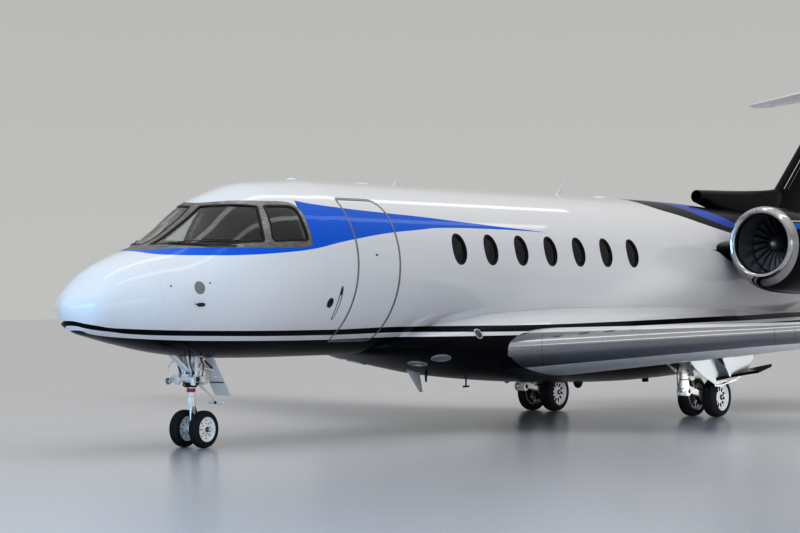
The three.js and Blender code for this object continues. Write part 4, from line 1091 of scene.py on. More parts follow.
def hull_shell(start, end, step, inner_start=None, inner_end=None):
    """The fuselage wall between two stations. An end is closed where the cabin's end has its own station."""
    outer = hull.rings(start, end, step, HULL_SIDES)
    inner = hull.rings(inner_start or start, inner_end or end, step * 2, HULL_SIDES, WALL)
    return shell(outer, inner, inner_start is None, inner_end is None)


def pane_skin(name, sign):
    """The skin round a cockpit pane, and the pane's outline on it."""
    corners, direction, radii = PANES[name]
    mirror = np.array([1, sign, 1])
    spots = np.array(corners) * mirror - np.array([SHIFT, 0, 0])
    skin = Skin(hull, spots.mean(axis=0), np.array(direction) * mirror)
    return skin, dense(outline(skin.flat(spots), radii))


def side_skin(sign):
    """The fuselage skin as seen from the side, drawn in station and height."""
    return Skin(hull, (-SHIFT, 0, 0), (0, sign, 0), reach=1.6)


def window_hole(station):
    """A cabin window's outline."""
    return oval((station, WINDOW_Z), *WINDOW_HALF, power=2.15)


def add_wall(name, part, cutters, node, body="airframe", operation="DIFFERENCE"):
    """A section of the fuselage wall, painted outside and lined inside."""
    wall = new_object(name, part)
    for cutter in cutters:
        carve(wall, cutter, operation)
    shade(wall, hull.field, backs=True)
    finish(wall, ("fuselage", "lining"), body=body, replaces=[node], pick=lining_faces)


def add_fuselage():
    piece("nose_radome", loft(hull.rings(0, RADOME_END, 0.022, HULL_SIDES)), "fuselage", replaces=["radome"],
          field=hull.field)
    panes = [pane_skin(name, sign) for sign in SIDES.values() for name in PANES]
    add_wall("cockpit_shell", hull_shell(RADOME_END, COCKPIT_END, 0.05, inner_start=RADOME_END + 0.25),
             [skin.prism(line) for skin, line in panes], "cockpit_section")

    door_line = dense(outline(DOOR_CORNERS, DOOR_RADII))
    side = side_skin(PORT)
    forward = hull_shell(COCKPIT_END, FORWARD_END, 0.06)
    add_wall("forward_cabin_shell", forward, [side.prism(grown(door_line, DOOR_GAP), *DOOR_REACH)],
             "forward_cabin_section")
    add_wall("airstair_door", forward, [side.prism(door_line, *DOOR_REACH)], "entry_door", "entry_door",
             "INTERSECT")
    piece("door_edge_trim", side.strip(grown(door_line, DOOR_GAP), grown(door_line, 0.034), 0.0012, 0.03),
          "trim_metal")

    holes = [merge(*(side_skin(sign).prism(window_hole(s), -0.6, 1.5) for s in WINDOW_STATIONS))
             for sign in SIDES.values()]
    add_wall("cabin_shell", hull_shell(FORWARD_END, CABIN_END, 0.12, inner_end=CABIN_END - 0.1), holes,
             "cabin_section")

    tail = new_object("tail_cone", loft(hull.rings(CABIN_END, TAIL_END, 0.12, HULL_SIDES)))
    bore = rod((TAIL_END - 0.35, 0, EXHAUST_Z), (TAIL_END + 0.05, 0, EXHAUST_Z), 0.082, sides=40)
    carve(tail, at_station(bore))
    shade(tail, hull.field)
    finish(tail, "fuselage", replaces=["tail_section"])
    profile = [(0, 0.080), (0.30, 0.080), (0.31, 0.075), (0.30, 0.070), (0.0, 0.070)]
    piece("auxiliary_exhaust", lathe(profile, 40, (TAIL_END - 0.325 - SHIFT, 0, EXHAUST_Z), "x"), "nozzle")

    fairing = new_object("belly_fairing_skin", loft(belly.rings(*belly.ends, 0.12, 96)))
    carve(fairing, loft([hull.ring(s, 96, 0.02) for s in np.linspace(4.0, 18.6, 100)]))
    shade(fairing, belly.field)
    finish(fairing, "fuselage", replaces=["belly_fairing"])


def add_panes():
    for side, sign in SIDES.items():
        for name in PANES:
            skin, line = pane_skin(name, sign)
            piece(f"{side}_{name}_pane", skin.sheet(grown(line, -0.004), -0.006, 0.014), "glass",
                  replaces=[f"{side}_{name}"], field=hull.field, backs=True)
            seal = skin.strip(grown(line, -0.022), grown(line, 0.006), 0.0016, 0.03)
            piece(f"{side}_{name}_seal", seal, "seal")
        skin, holes = side_skin(sign), [window_hole(station) for station in WINDOW_STATIONS]
        panes = [skin.sheet(grown(hole, -0.003), -0.024, 0.012, 5) for hole in holes]
        seals = [skin.strip(grown(hole, -0.018), grown(hole, -0.001), -0.003, 0.07) for hole in holes]
        reveals = [skin.strip(grown(hole, -0.034), grown(hole, -0.018), -0.014, 0.02) for hole in holes]
        piece(f"{side}_cabin_panes", merge(*panes), "cabin_glass", replaces=[f"{side}_cabin_windows"],
              field=hull.field, backs=True)
        piece(f"{side}_cabin_window_seals", merge(*seals), "seal")
        piece(f"{side}_cabin_window_reveals", merge(*reveals), "gear_dark")


# Lifting surfaces

SECTION_POINTS = 26
BAND_SHARE, BAND_GAP = 0.085, 0.0006
TRAILING_EDGE_HALF = 0.003
# What turns about a hinge: the gap round it, the cove round its nose, and how far it lies below the skin
RUNNING_GAP, COVE_ROOM, COVE_GAP, COVE_TAIL = 0.008, 1.12, 0.008, 0.4
SKIN_STEP, NOSE_STEP, NOSE_RAMP = 0.002, 0.008, 0.012


def section_curve(share):
    """Half thickness of a streamlined section of unit chord and unit thickness."""
    s = np.maximum(np.asarray(share, float), 0)
    return np.maximum(1.4845 * np.sqrt(s) - 0.63 * s - 1.758 * s**2 + 1.4215 * s**3 - 0.518 * s**4, 0)


class Blade:
    """A lifting surface through a table of sections, along y or, for a fin, upwards."""

    def __init__(self, rows, upright=False):
        rows = np.array(rows, float)
        middle = np.zeros((len(rows), 2)) if upright else rows[:, 3:5]
        thickness = rows[:, 2] * rows[:, -1]
        self.rows = np.column_stack([rows[:, :3], middle, thickness]) / 1000
        self.upright = upright

    def row(self, span):
        return [np.interp(span, self.rows[:, 0], self.rows[:, i]) for i in range(1, 6)]

    def half(self, span, share):
        return section_curve(share) * self.row(span)[4] + np.maximum(share, 0) * TRAILING_EDGE_HALF

    def place(self, x, span, height):
        span = np.full_like(x, span)
        across = [height, span] if self.upright else [span, height]
        return np.stack([x - SHIFT, *across], axis=1)

    def ring(self, span, start, end, scale=1.0, inset=0.0):
        leading, chord, leading_z, trailing_z, _ = self.row(span)
        shares = np.linspace(math.sqrt(start), math.sqrt(end), SECTION_POINTS) ** 2
        half = self.half(span, shares) * scale
        x = leading + inset + shares * (chord - 1.5 * inset)
        middle = leading_z + (trailing_z - leading_z) * shares
        upper, lower = self.place(x, span, middle + half), self.place(x, span, middle - half)
        return np.vstack([upper[::-1], lower[1 if start == 0 else 0:]])

    def rings(self, first, last, step, tip, start=0.0, end=1.0):
        """Sections from first to last, rounded over the last tip of the span."""
        spans = set(np.linspace(first, last - tip, int((last - first) / step) + 2).round(4))
        spans |= {s for s in self.rows[:, 0] if first < s < last - tip}
        made = [self.ring(s, start, end) for s in sorted(spans)]
        for degrees in (18, 36, 52, 66, 78, 86):
            turn = math.radians(degrees)
            fall = tip * (1 - math.cos(turn))
            made.append(self.ring(last - tip + tip * math.sin(turn), start, end, math.cos(turn), fall))
        return made

    def field(self, points):
        span = points[:, 2] if self.upright else abs(points[:, 1])
        height = points[:, 1] if self.upright else points[:, 2]
        leading, chord, leading_z, trailing_z, thickness = self.row(span)
        share = (points[:, 0] + SHIFT - leading) / chord
        middle = leading_z + (trailing_z - leading_z) * share
        half = section_curve(share) * thickness + np.maximum(share, 0) * TRAILING_EDGE_HALF
        return (height - middle) ** 2 - np.where(share > 0, half**2, share * (1.4845 * thickness) ** 2)


class Hinge:
    """A straight hinge line across a lifting surface, and what turns about it."""

    def __init__(self, blade, spec):
        self.blade, self.share, self.spread = blade, spec["share"], spec["spread"]
        self.spans = spec["start"], spec["end"]
        self.start, self.end = (self.on_chord(s) for s in self.spans)
        self.along = (self.end - self.start) / np.linalg.norm(self.end - self.start)

    def on_chord(self, span):
        leading, chord, leading_z, trailing_z, _ = self.blade.row(span)
        height = leading_z + (trailing_z - leading_z) * self.share
        return self.blade.place(np.array([leading + self.share * chord]), span, np.array([height]))[0]

    def section(self, span, room, tail):
        """The moving part's outline at a span: a round nose about the hinge and a straight tail."""
        blade = self.blade
        axis = 2 if blade.upright else 1
        at = self.start + self.along * ((span - self.start[axis]) / self.along[axis])
        leading, chord, _, trailing_z, _ = blade.row(span)
        half = blade.half(span, self.share)
        radius = half * COVE_ROOM + COVE_GAP if room else half - NOSE_STEP
        tail_x = leading + chord + tail - SHIFT - at[0]
        tail_z = 0 if blade.upright else trailing_z - at[2]
        skin, thin = half - SKIN_STEP + room, TRAILING_EDGE_HALF + room * 4
        turns = np.linspace(0, math.pi, 17)
        flat = [(-radius * math.sin(t), radius * math.cos(t)) for t in turns]
        flat += [(NOSE_RAMP, -skin), (tail_x, tail_z - thin), (tail_x, tail_z + thin), (NOSE_RAMP, skin)]
        x, h = np.array(flat).T
        zero = np.zeros_like(x)
        return at + np.stack([x, h, zero] if blade.upright else [x, zero, h], axis=1)

    def body(self, room=0.0, tail=0.0):
        """The moving part, or with room the cutter for its cove."""
        first, last = self.spans
        inner = [s for s in self.blade.rows[:, 0] if first < s < last]
        spans = [first - self.spread, *inner, last + self.spread]
        rings = [self.section(s, room, tail) for s in spans]

        def cut(a, b, point):
            share = ((point - a) @ self.along) / ((b - a) @ self.along)
            return a + (b - a) * share[:, None]

        rings[0] = cut(rings[0], rings[1], self.start - self.along * room)
        rings[-1] = cut(rings[-2], rings[-1], self.end + self.along * room)
        return loft(rings)

    def pins(self, radius):
        """A hinge pin at each end."""
        return merge(*(rod(p - self.along * sign * 0.02, p + self.along * sign * 0.04, radius)
                       for p, sign in ((self.start, -1), (self.end, 1))))


wing = Blade(WING)
stabiliser = Blade(STABILISER)
fin = Blade(FIN, upright=True)


def add_surface(name, blade, rings, hinges, sign, material, node):
    """A lifting surface's skin with a cove for each hinge."""
    skin = new_object(name, on_side(loft(rings), sign))
    for hinge in hinges:
        carve(skin, on_side(hinge.body(RUNNING_GAP, COVE_TAIL), sign))
    shade(skin, blade.field)
    finish(skin, material, replaces=[node])


def add_hinged(name, hinge, radius, sign, material, body):
    """What turns about a hinge, with its pins."""
    part = merge(hinge.body(), hinge.pins(radius))
    piece(name, on_side(part, sign), material, body=body, replaces=[body], angle=28)


def add_wings():
    flap, aileron = Hinge(wing, FLAP), Hinge(wing, AILERON)
    spans = (1.0, 9.4, 0.35, 0.03)
    for side, sign in SIDES.items():
        rings = wing.rings(*spans, BAND_SHARE + BAND_GAP)
        add_surface(f"{side}_wing_skin", wing, rings, (flap, aileron), sign, "wing", f"{side}_wing")
        band = loft(wing.rings(*spans, 0.0, BAND_SHARE))
        piece(f"{side}_leading_edge_skin", on_side(band, sign), "polished",
              replaces=[f"{side}_wing_leading_edge"], field=wing.field)
        add_hinged(f"{side}_flap_skin", flap, 0.014, sign, "wing", f"{side}_flap")
        add_hinged(f"{side}_aileron_skin", aileron, 0.012, sign, "wing", f"{side}_aileron")
        lens = block((11.83 - SHIFT, 9.30, 1.640), (12.02 - SHIFT, 9.384, 1.668), 0.012)
        piece(f"{side}_tip_light", on_side(lens, sign), "lens")


def add_tail():
    hinge = Hinge(fin, RUDDER)
    rings = fin.rings(2.95, 5.97, 0.3, 0.05)
    add_surface("fin_skin", fin, rings, [hinge], STARBOARD, "black", "vertical_fin")
    add_hinged("rudder_skin", hinge, 0.014, STARBOARD, "black", "rudder")

    front, centre = dorsal.ends[0], 3.345
    inlet = new_object("dorsal_inlet_skin", loft(dorsal.rings(*dorsal.ends, 0.08, 48)))
    carve(inlet, at_station(rod((front - 0.05, 0, centre), (front + 0.4, 0, centre), 0.080, 0.062, 40)))
    shade(inlet, dorsal.field)
    finish(inlet, "black", replaces=["dorsal_inlet"])

    hinge = Hinge(stabiliser, ELEVATOR)
    for side, sign in SIDES.items():
        rings = stabiliser.rings(0.04, 2.6, 0.2, 0.016)
        add_surface(f"{side}_stabiliser_skin", stabiliser, rings, [hinge], sign, "wing", f"{side}_stabiliser")
        add_hinged(f"{side}_elevator_skin", hinge, 0.007, sign, "wing", f"{side}_elevator")


# Engines

FAN_FRONT, FAN_HUB, FAN_ROOT, FAN_TIP, FAN_BLADES, CORE_VANES = 13.44, 0.130, 0.115, 0.457, 22, 30
LIP_FRONT, LIP_END, COWL_FRONT, NACELLE_END = 12.8735, 13.02, 13.0215, 16.4
PYLON = Blade([
    [600, 12450, 3700, 2470, 2520, 0.075],
    [1238, 12974, 3112, 2497, 2538, 0.0844],
])


def fan_blade():
    """One fan blade: sections along its height, twisted from root to tip."""
    rings, steps = [], np.linspace(0, 1, 9)
    for share in np.linspace(0, 1, 8):
        radius = FAN_ROOT + (FAN_TIP - FAN_ROOT) * share
        chord = 0.13 + 0.05 * share - 0.03 * share**3
        stagger = math.radians(20 + 42 * share)
        half = np.sin(np.pi * steps) ** 0.6 * (0.009 - 0.0055 * share) / 2
        camber = np.sin(np.pi * steps) * 0.016 * (1 - 0.5 * share)
        along = (steps - 0.5) * chord
        a = np.concatenate([along, along[::-1][1:-1]])
        h = np.concatenate([camber + half, (camber - half)[::-1][1:-1]])
        turn = (a * math.sin(stagger) + h * math.cos(stagger) + 0.02 * share**2) / radius
        x = FAN_FRONT + 0.10 + a * math.cos(stagger) - h * math.sin(stagger)
        rings.append(np.stack([x, radius * np.sin(turn), radius * np.cos(turn)], axis=1))
    return loft(rings)


def around(part, count, centre):
    """Copies of a part turned about the engine's axis."""
    copies = [turned(part, (0, 0, 0), (1, 0, 0), 360 * i / count) for i in range(count)]
    return moved(merge(*copies), centre)


def add_fan(side, centre):
    piece(f"{side}_fan_blades", around(fan_blade(), FAN_BLADES, centre), "fan", body=f"{side}_fan",
          replaces=[f"{side}_fan"], angle=50)
    profile = [(13.24 + 0.20 * s, FAN_HUB * (1 - (1 - s) ** 1.7) ** 0.62 + 0.001)
               for s in np.linspace(0, 1, 14)]
    profile += [(13.47, 0.131), (13.64, 0.131), (13.64, 0.06), (13.755, 0.06), (13.755, 0.0), (13.24, 0.0)]
    piece(f"{side}_spinner", lathe(profile, 48, centre, "x"), "fan", body=f"{side}_fan", angle=30)


def add_core(side, centre):
    """The engine as one plain block, with a ring of vanes on its face and a hollow nozzle."""
    profile = [
        (16.00, 0.0), (15.93, 0.045), (15.84, 0.075), (15.76, 0.085), (15.74, 0.19), (15.95, 0.192),
        (16.085, 0.186), (16.095, 0.192), (16.10, 0.199), (15.95, 0.222), (15.7, 0.250), (15.4, 0.277),
        (15.21, 0.30), (15.20, 0.46), (15.19, 0.469), (13.78, 0.469), (13.763, 0.460), (13.763, 0.432),
        (13.85, 0.425), (13.85, 0.262), (13.79, 0.255), (13.775, 0.245), (13.79, 0.235), (13.88, 0.225),
        (13.88, 0.08), (13.80, 0.07), (13.80, 0.0),
    ]
    vane = block((13.79, -0.0035, 0.26), (13.848, 0.0035, 0.43), 0.0015)
    vanes = around(turned(vane, (13.82, 0, 0.34), (0, 0, 1), 24), CORE_VANES, centre)
    piece(f"{side}_engine_casing", merge(lathe(profile, 64, centre, "x"), vanes), "nozzle",
          replaces=[f"{side}_engine_core"], angle=30)


def nacelle_shell(side, stations):
    """The nacelle's wall, open at both ends."""
    return shell(*([egg.ring(s, 72) for s in stations] for egg in (nacelles[side], ducts[side])))


def faces_inwards(polygon, y):
    """True for faces that look towards the engine's centre line."""
    away = polygon.center - Vector((polygon.center.x, y, ENGINE_Z))
    return polygon.normal.dot(away) < 0


def add_engines():
    lip_stations = LIP_FRONT + np.linspace(0, 1, 14) ** 2 * (LIP_END - LIP_FRONT)
    cowl_stations = np.linspace(COWL_FRONT, NACELLE_END, 32)
    for side, sign in SIDES.items():
        piece(f"{side}_intake_ring", nacelle_shell(side, lip_stations), "polished_lip",
              replaces=[f"{side}_intake_lip"], angle=60)
        piece(f"{side}_cowl", nacelle_shell(side, cowl_stations), ("black", "duct"),
              replaces=[f"{side}_nacelle"], angle=50,
              pick=lambda face, y=sign * ENGINE_Y: faces_inwards(face, y))
        piece(f"{side}_pylon_skin", on_side(loft(PYLON.rings(0.6, 1.238, 0.3, 0.01)), sign), "black",
              replaces=[f"{side}_pylon"], field=PYLON.field)
        centre = (-SHIFT, sign * ENGINE_Y, ENGINE_Z)
        add_fan(side, centre)
        add_core(side, centre)


# Landing gear

AXLE_CLEARANCE = 0.001
NOSE_LEG, NOSE_AXLE = 2.084, 2.134
MAIN_LEG, MAIN_AXLE, MAIN_LEG_Y = 11.13, 11.725, 1.4175
NOSE_TYRE_Y, MAIN_TYRE_Y = 0.1535, 0.2025
# The tyre and axle in metres, the slots and bolts as shares of the rim, the disc as a share of the half width
NOSE_WHEEL = {
    "radius": 0.221, "width": 0.130, "axle": 0.028, "rim": 0.68, "grooves": (-0.28, 0.28), "disc": 0.60,
    "slots": 8, "slot_at": 0.70, "slot_width": 0.07, "slot_height": 0.045, "bolts": 9, "bolts_at": 0.48,
    "metal": "hub_white",
}
MAIN_WHEEL = {
    "radius": 0.291, "width": 0.225, "axle": 0.038, "rim": 0.69, "grooves": (-0.42, -0.14, 0.14, 0.42),
    "disc": 0.46, "slots": 11, "slot_at": 0.60, "slot_width": 0.100, "slot_height": 0.165, "bolts": 11,
    "bolts_at": 0.83, "metal": "hub",
}


def tyre_profile(radius, width, rim, grooves):
    """Half a turn of tyre wall and tread from one bead to the other, with grooves."""
    half, power, depth, groove = width / 2, 2.7, radius * 0.022, radius * 0.012
    places = list(half * np.cos(np.linspace(0, math.pi, 29)))
    for g in grooves:
        places = [a for a in places if abs(a - g * half) > groove * 1.6]
        places += [g * half + k * groove for k in (-1.2, -1.0, 1.0, 1.2)]
    made = []
    for a in sorted(places):
        r = rim + (radius - rim) * max(1 - (abs(a) / half) ** power, 0) ** (1 / power)
        inside = any(abs(a - g * half) < groove * 1.1 for g in grooves)
        made.append((a, r - depth if inside else r))
    return made + [(0.70 * half, rim * 0.965), (-0.70 * half, rim * 0.965)]


def hub_profile(rim, half, bore, disc):
    """A wheel rim and disc from its face to its middle, the same on both faces."""
    face = [
        (0.70, 0.955), (0.80, 0.99), (0.86, 0.985), (0.87, 0.955), (0.82, 0.925), (0.68, 0.90),
        (disc + 0.10, 0.86), (disc + 0.02, 0.82), (disc, 0.76), (disc, 0.42), (disc + 0.07, 0.36),
        (disc + 0.22, 0.33), (disc + 0.26, 0.28), (disc + 0.26, 0.20),
    ]
    side = [(a * half, r * rim) for a, r in face] + [((disc + 0.24) * half, bore)]
    return side + [(-a, r) for a, r in reversed(side)]


def add_wheel(name, body, place, outward, style):
    """A tyre on its wheel, with slots through the disc, bolts round the hub and a cap on its outer face."""
    radius, half, rim = style["radius"], style["width"] / 2, style["radius"] * style["rim"]
    centre = np.array((place[0] - SHIFT, place[1], radius))
    tyre = lathe(tyre_profile(radius, style["width"], rim, style["grooves"]), 96, centre)
    piece(f"{name}_tyre", tyre, "tyre", body=body, replaces=[name], angle=25)
    profile = hub_profile(rim, half, style["axle"] + AXLE_CLEARANCE, style["disc"])
    hub = new_object(f"{name}_hub", lathe(profile, 72, centre))
    line = oval((0, style["slot_at"] * rim), style["slot_width"] * rim, style["slot_height"] * rim, 2.6, 20)
    hole = loft([stand(line, y=a) for a in (-half, half)])
    holes = [turned(hole, (0, 0, 0), (0, 1, 0), 360 * i / style["slots"]) for i in range(style["slots"])]
    carve(hub, moved(merge(*holes), centre))
    shade(hub, angle=25)

    def in_slot(polygon):
        away = math.hypot(polygon.center.x - centre[0], polygon.center.z - radius) / rim
        return abs(polygon.normal.y) < 0.3 and abs(away - style["slot_at"]) < style["slot_height"] * 1.04

    finish(hub, (style["metal"], "gear_dark"), body=body, pick=in_slot)
    disc = style["disc"] * half
    bolts = [rod(at + (0, face * (disc - 0.002), 0), at + (0, face * (disc + 0.007), 0), 0.006, sides=8)
             for at in circle(style["bolts"], style["bolts_at"] * rim, 180 / style["bolts"], "y")
             for face in (-1, 1)]
    piece(f"{name}_bolts", moved(merge(*bolts), centre), "gear_dark", body=body)
    out = np.array((0, outward, 0))
    face = centre + out * (style["disc"] + 0.22) * half
    cap = rod(face, face + out * 0.018, 0.20 * rim, sides=32, bevel=0.006)
    nut = rod(face + out * 0.012, face + out * 0.024, 0.08 * rim, sides=16, bevel=0.003)
    piece(f"{name}_cap", cap, "gear_dark", body=body)
    piece(f"{name}_cap_centre", nut, "hub", body=body)


# Castings and hoses, as rods(), blocks() and pipes() read them, from the leg's foot
NOSE_LEG_RODS = [
    (0, 0, 875, 0, 0, 1170, 56, 32, 6), (0, -170, 1100, 0, 170, 1100, 30, 20, 0),
    (-85, -150, 812, -85, 170, 812, 31, 24, 6), (-85, -175, 812, -85, -150, 812, 24, 20, 4),
    (-85, 170, 812, -85, 200, 812, 24, 20, 4), (20, -140, 790, 160, -110, 800, 24, 20, 5),
    (-50, 45, 860, -170, 75, 1130, 14, 20, 0), (-50, -45, 860, -170, -75, 1130, 14, 20, 0),
    (-30, 20, 880, -380, 30, 1130, 20, 20, 0), (-30, -20, 880, -380, -30, 1130, 20, 20, 0),
    (-160, 50, 980, -160, -50, 980, 12, 20, 0), (0, 0, 700, 0, 0, 716, 58, 32, 4),
    (0, 0, 603, 0, 0, 657, 49.5, 32, 3), (-100, 75, 1130, -75, 60, 870, 17, 20, 0),
    (-130, 15, 1130, -90, 15, 870, 15, 20, 0), (-115, 110, 745, -115, 110, 860, 26, 20, 5),
    (-60, -100, 735, -60, -100, 860, 22, 20, 5), (90, 60, 760, 90, 60, 900, 20, 20, 4),
    (50, -90, 830, 220, -70, 840, 14, 16, 4), (-90, 90, 800, -220, 105, 790, 12, 20, 0),
    (80, 0, 790, 250, 0, 670, 18, 20, 0), (230, 0, 690, 450, 0, 528, 11, 20, 0),
    (-30, -155, 930, -30, 155, 930, 19, 20, 4), (-60, 135, 840, -30, 105, 1120, 20, 20, 0),
    (-60, -135, 840, -30, -105, 1120, 20, 20, 0), (50, -55, 860, 170, -75, 1120, 20, 20, 0),
    (50, 55, 860, 170, 75, 1120, 20, 20, 0), (-120, -130, 745, -120, -130, 830, 24, 20, 5),
    (-135, 175, 800, -185, 190, 790, 20, 20, 4),
]
NOSE_LEG_BLOCKS = [
    (-75, -85, 765, 85, 85, 860, 22), (60, -50, 860, 110, 50, 990, 12), (-75, 20, 900, -52, 75, 1080, 6),
    (-20, -75, 900, 50, -56, 1060, 6), (-170, 55, 765, -100, 130, 835, 12), (-140, -50, 835, -80, 30, 872, 8),
    (130, -85, 740, 200, -30, 810, 10), (-90, -85, 995, 85, 85, 1085, 25),
    (-135, 125, 790, -75, 185, 850, 12), (0, -165, 775, 65, -100, 845, 12),
]
NOSE_DARK_RODS = [
    (0, 0, 862, 0, 0, 892, 68, 36, 4), (100, -30, 1100, 330, -30, 930, 10, 20, 0),
    (-85, -190, 812, -85, -176, 812, 30, 6, 0), (-85, 201, 812, -85, 215, 812, 30, 6, 0),
]
NOSE_HOSES = [
    (7, -30, 80, 1100, -90, 120, 980, -60, 100, 860, -20, 80, 760),
    (7, 40, -70, 1100, 100, -100, 980, 90, -90, 840, 50, -60, 740),
    (6, -70, -60, 1100, -120, -90, 1000, -100, -120, 900, -100, -100, 840),
    (8, -100, 20, 780, -130, 0, 735, -60, -20, 720, -10, -55, 740),
]
NOSE_FORK_RODS = [
    (0, 0, 502, 0, 0, 598.5, 49.5, 36, 3), (0, 0, 488, 0, 0, 503, 54, 36, 4),
    (50, -62, 221, 50, 62, 221, 44, 32, 6), (50, -198, 221, 50, 198, 221, 28, 24, 3),
    (35, 22, 500, 105, 18, 385, 10, 20, 0), (35, -22, 500, 105, -18, 385, 10, 20, 0),
    (105, 18, 385, 45, 22, 270, 10, 20, 0), (105, -18, 385, 45, -22, 270, 10, 20, 0),
    (105, 32, 385, 105, -32, 385, 12, 20, 0),
]
MAIN_LEG_RODS = [
    (0, 0, 730, 0, 0, 930, 52, 32, 6), (0, -60, 700, 0, 60, 700, 70, 40, 12),
    (0, -72, 700, 0, 72, 700, 36, 28, 6), (0, -90, 392, 0, 90, 392, 70, 36, 12),
    (-60, 30, 400, -105, 30, 395, 18, 16, 5),
    (-20, -50, 640, -45, -240, 775, 20, 20, 5), (50, 20, 690, 140, 20, 840, 18, 16, 4),
    (0, 50, 720, 0, 327, 720, 17, 16, 0), (0, 50, 600, 0, 327, 600, 17, 16, 0),
]
MAIN_LEG_BLOCKS = [
    (-95, -55, 830, 85, 55, 875, 14), (-55, -85, 785, 55, 85, 835, 16), (-35, -36, 665, 35, 36, 760, 10),
]
MAIN_DARK_RODS = [
    (0, 0, 556, 0, 0, 566, 71.5, 36, 2), (0, 0, 655, 0, 0, 662, 64, 36, 2),
    (0, -76, 700, 0, 76, 700, 20, 20, 3), (0, -94, 392, 0, 94, 392, 30, 20, 3),
]
MAIN_HOSES = [
    (7, -70, -50, 860, -85, -60, 720, -90, -60, 580, -85, -50, 460),
    (7, 60, -50, 860, 100, -60, 700, 120, -45, 560, 100, -40, 460),
]
MAIN_ARM_RODS = [
    (595, -56, 291, 595, 56, 291, 70, 36, 10), (595, -285, 291, 595, 285, 291, 38, 28, 4),
    (225, 0, 590, 102, 0, 835, 40, 32, 7), (242, 0, 556, 220, 0, 600, 45, 32, 6),
]


def bar(x, low, high, radius, sides=20, bevel=0.0, y=0.0, top_radius=None):
    """An upright rod."""
    return rod((x, y, low), (x, y, high), radius, top_radius, sides, bevel)


def add_nose_leg():
    s = NOSE_LEG
    castings = rods(NOSE_LEG_RODS, s) + blocks(NOSE_LEG_BLOCKS, s)
    castings += pipes([(8, -160, 100, 1050, -210, 160, 970, -215, 170, 880)], s)
    castings += [bar(s + at[0], 0.852, 0.873, 0.008, 6, y=at[1]) for at in circle(6, 0.062, 15, "z")]
    piece("nose_leg_castings", at_station(merge(*castings)), "gear", replaces=["nose_gear_leg"], angle=40)
    dark = rods(NOSE_DARK_RODS, s) + pipes(NOSE_HOSES, s)
    dark.append(bar(s, 0.716, 0.764, 0.072, 36, 0.006, top_radius=0.082))
    piece("nose_leg_hoses", at_station(merge(*dark)), "gear_dark", angle=40)
    piece("nose_leg_band", at_station(bar(s, 0.657, 0.699, 0.051, 32, 0.002)), "red")
    profile = [(0, 0.012), (0.03, 0.034), (0.055, 0.042), (0.062, 0.042), (0.062, 0.039), (0.05, 0.036),
               (0.02, 0.02), (0.012, 0.0), (0.0, 0.0)]
    at = (s - 0.225, 0.105, 0.79)
    bowl = turned(lathe(profile, 32, at, "x"), at, (0, 0, 1), 180)
    piece("nose_lamp_bowl", at_station(bowl), "chrome", angle=40)
    lens = lathe([(-0.002, 0.0), (-0.0015, 0.02), (0.0, 0.0385), (0.004, 0.0385), (0.004, 0.0)], 32,
                 (s - 0.288, 0.105, 0.79), "x")
    piece("nose_lamp_lens", at_station(lens), "lens")
    lamp_bar = merge(rod((2.534, -0.115, 0.515), (2.534, 0.115, 0.515), 0.019, bevel=0.005),
                     block((2.515, -0.045, 0.498), (2.560, 0.045, 0.533), 0.008))
    piece("rear_lamp_bar", at_station(lamp_bar), "gear", angle=40)
    eye = rod((2.505, 0.0, 0.515), (2.516, 0.0, 0.515), 0.016, bevel=0.002)
    piece("rear_lamp_glass", at_station(eye), "gear_dark")


def add_nose_door():
    """The door behind the nose leg, drawn along its length and across it."""
    top, foot, half = Vector((2.33, 0, 1.08)), Vector((2.655, 0, 0.600)), (0.115, 0.125)
    length, along = (foot - top).length, (foot - top).normalized()
    out = Vector((along.z, 0, -along.x))

    def on_door(flat, depth):
        return np.array([top + along * a + Vector((0, b, 0)) + out * depth for a, b in flat])

    line = outline([(0.0, -half[0]), (0.0, half[0]), (length, half[1]), (length, -half[1])],
                   (0.01, 0.01, 0.03, 0.03))
    panel = loft([on_door(line, depth) for depth in (-0.009, 0.009)])
    piece("nose_gear_door_panel", at_station(panel), "pale_blue", replaces=["nose_gear_door"], angle=40)
    ribs = []
    for i in range(4):
        a = 0.12 + 0.062 * i
        flat = oval((0, 0), 0.014, 0.028 + 0.005 * i, 2.4, 28)
        levels = [(1.0, 0.009), (0.94, 0.0125), (0.80, 0.0145), (0.3, 0.0155)]
        ribs.append(loft([on_door(flat * k + [a, 0], depth) for k, depth in levels]))
    ledge = loft([on_door(oval((0.385, 0), 0.006, 0.112, 6, 28), depth) for depth in (0.008, 0.013)])
    piece("nose_gear_door_ledge", at_station(ledge), "gear_dark")
    piece("nose_gear_door_ribs", at_station(merge(*ribs)), "bright", angle=50)
    links = [rod((NOSE_LEG + 0.10, y, 0.95), (NOSE_LEG + 0.34, y, 0.90), 0.010) for y in (-0.06, 0.06)]
    piece("nose_gear_door_links", at_station(merge(*links)), "gear")


def add_nose_fork():
    """What steers, and its two wheels."""
    s, body = NOSE_LEG, "nose_gear_steering"
    turning = rods(NOSE_FORK_RODS, s) + blocks([(-30, -34, 190, 75, 34, 262, 14)], s)
    piece("nose_fork_castings", at_station(merge(*turning)), "gear", body=body, replaces=["nose_gear_fork"],
          angle=40)
    piece("nose_fork_piston", at_station(bar(s, 0.24, 0.50, 0.023, 32)), "chrome", body=body)
    hose = pipe([(s + 0.035, -0.03, 0.495), (s + 0.045, -0.036, 0.42), (s + 0.03, -0.03, 0.33)], 0.006)
    piece("nose_fork_hose", at_station(hose), "gear_dark", body=body)
    for side, sign in SIDES.items():
        add_wheel(f"{side}_nose_wheel", "nose_wheels", (NOSE_AXLE, sign * NOSE_TYRE_Y), sign, NOSE_WHEEL)


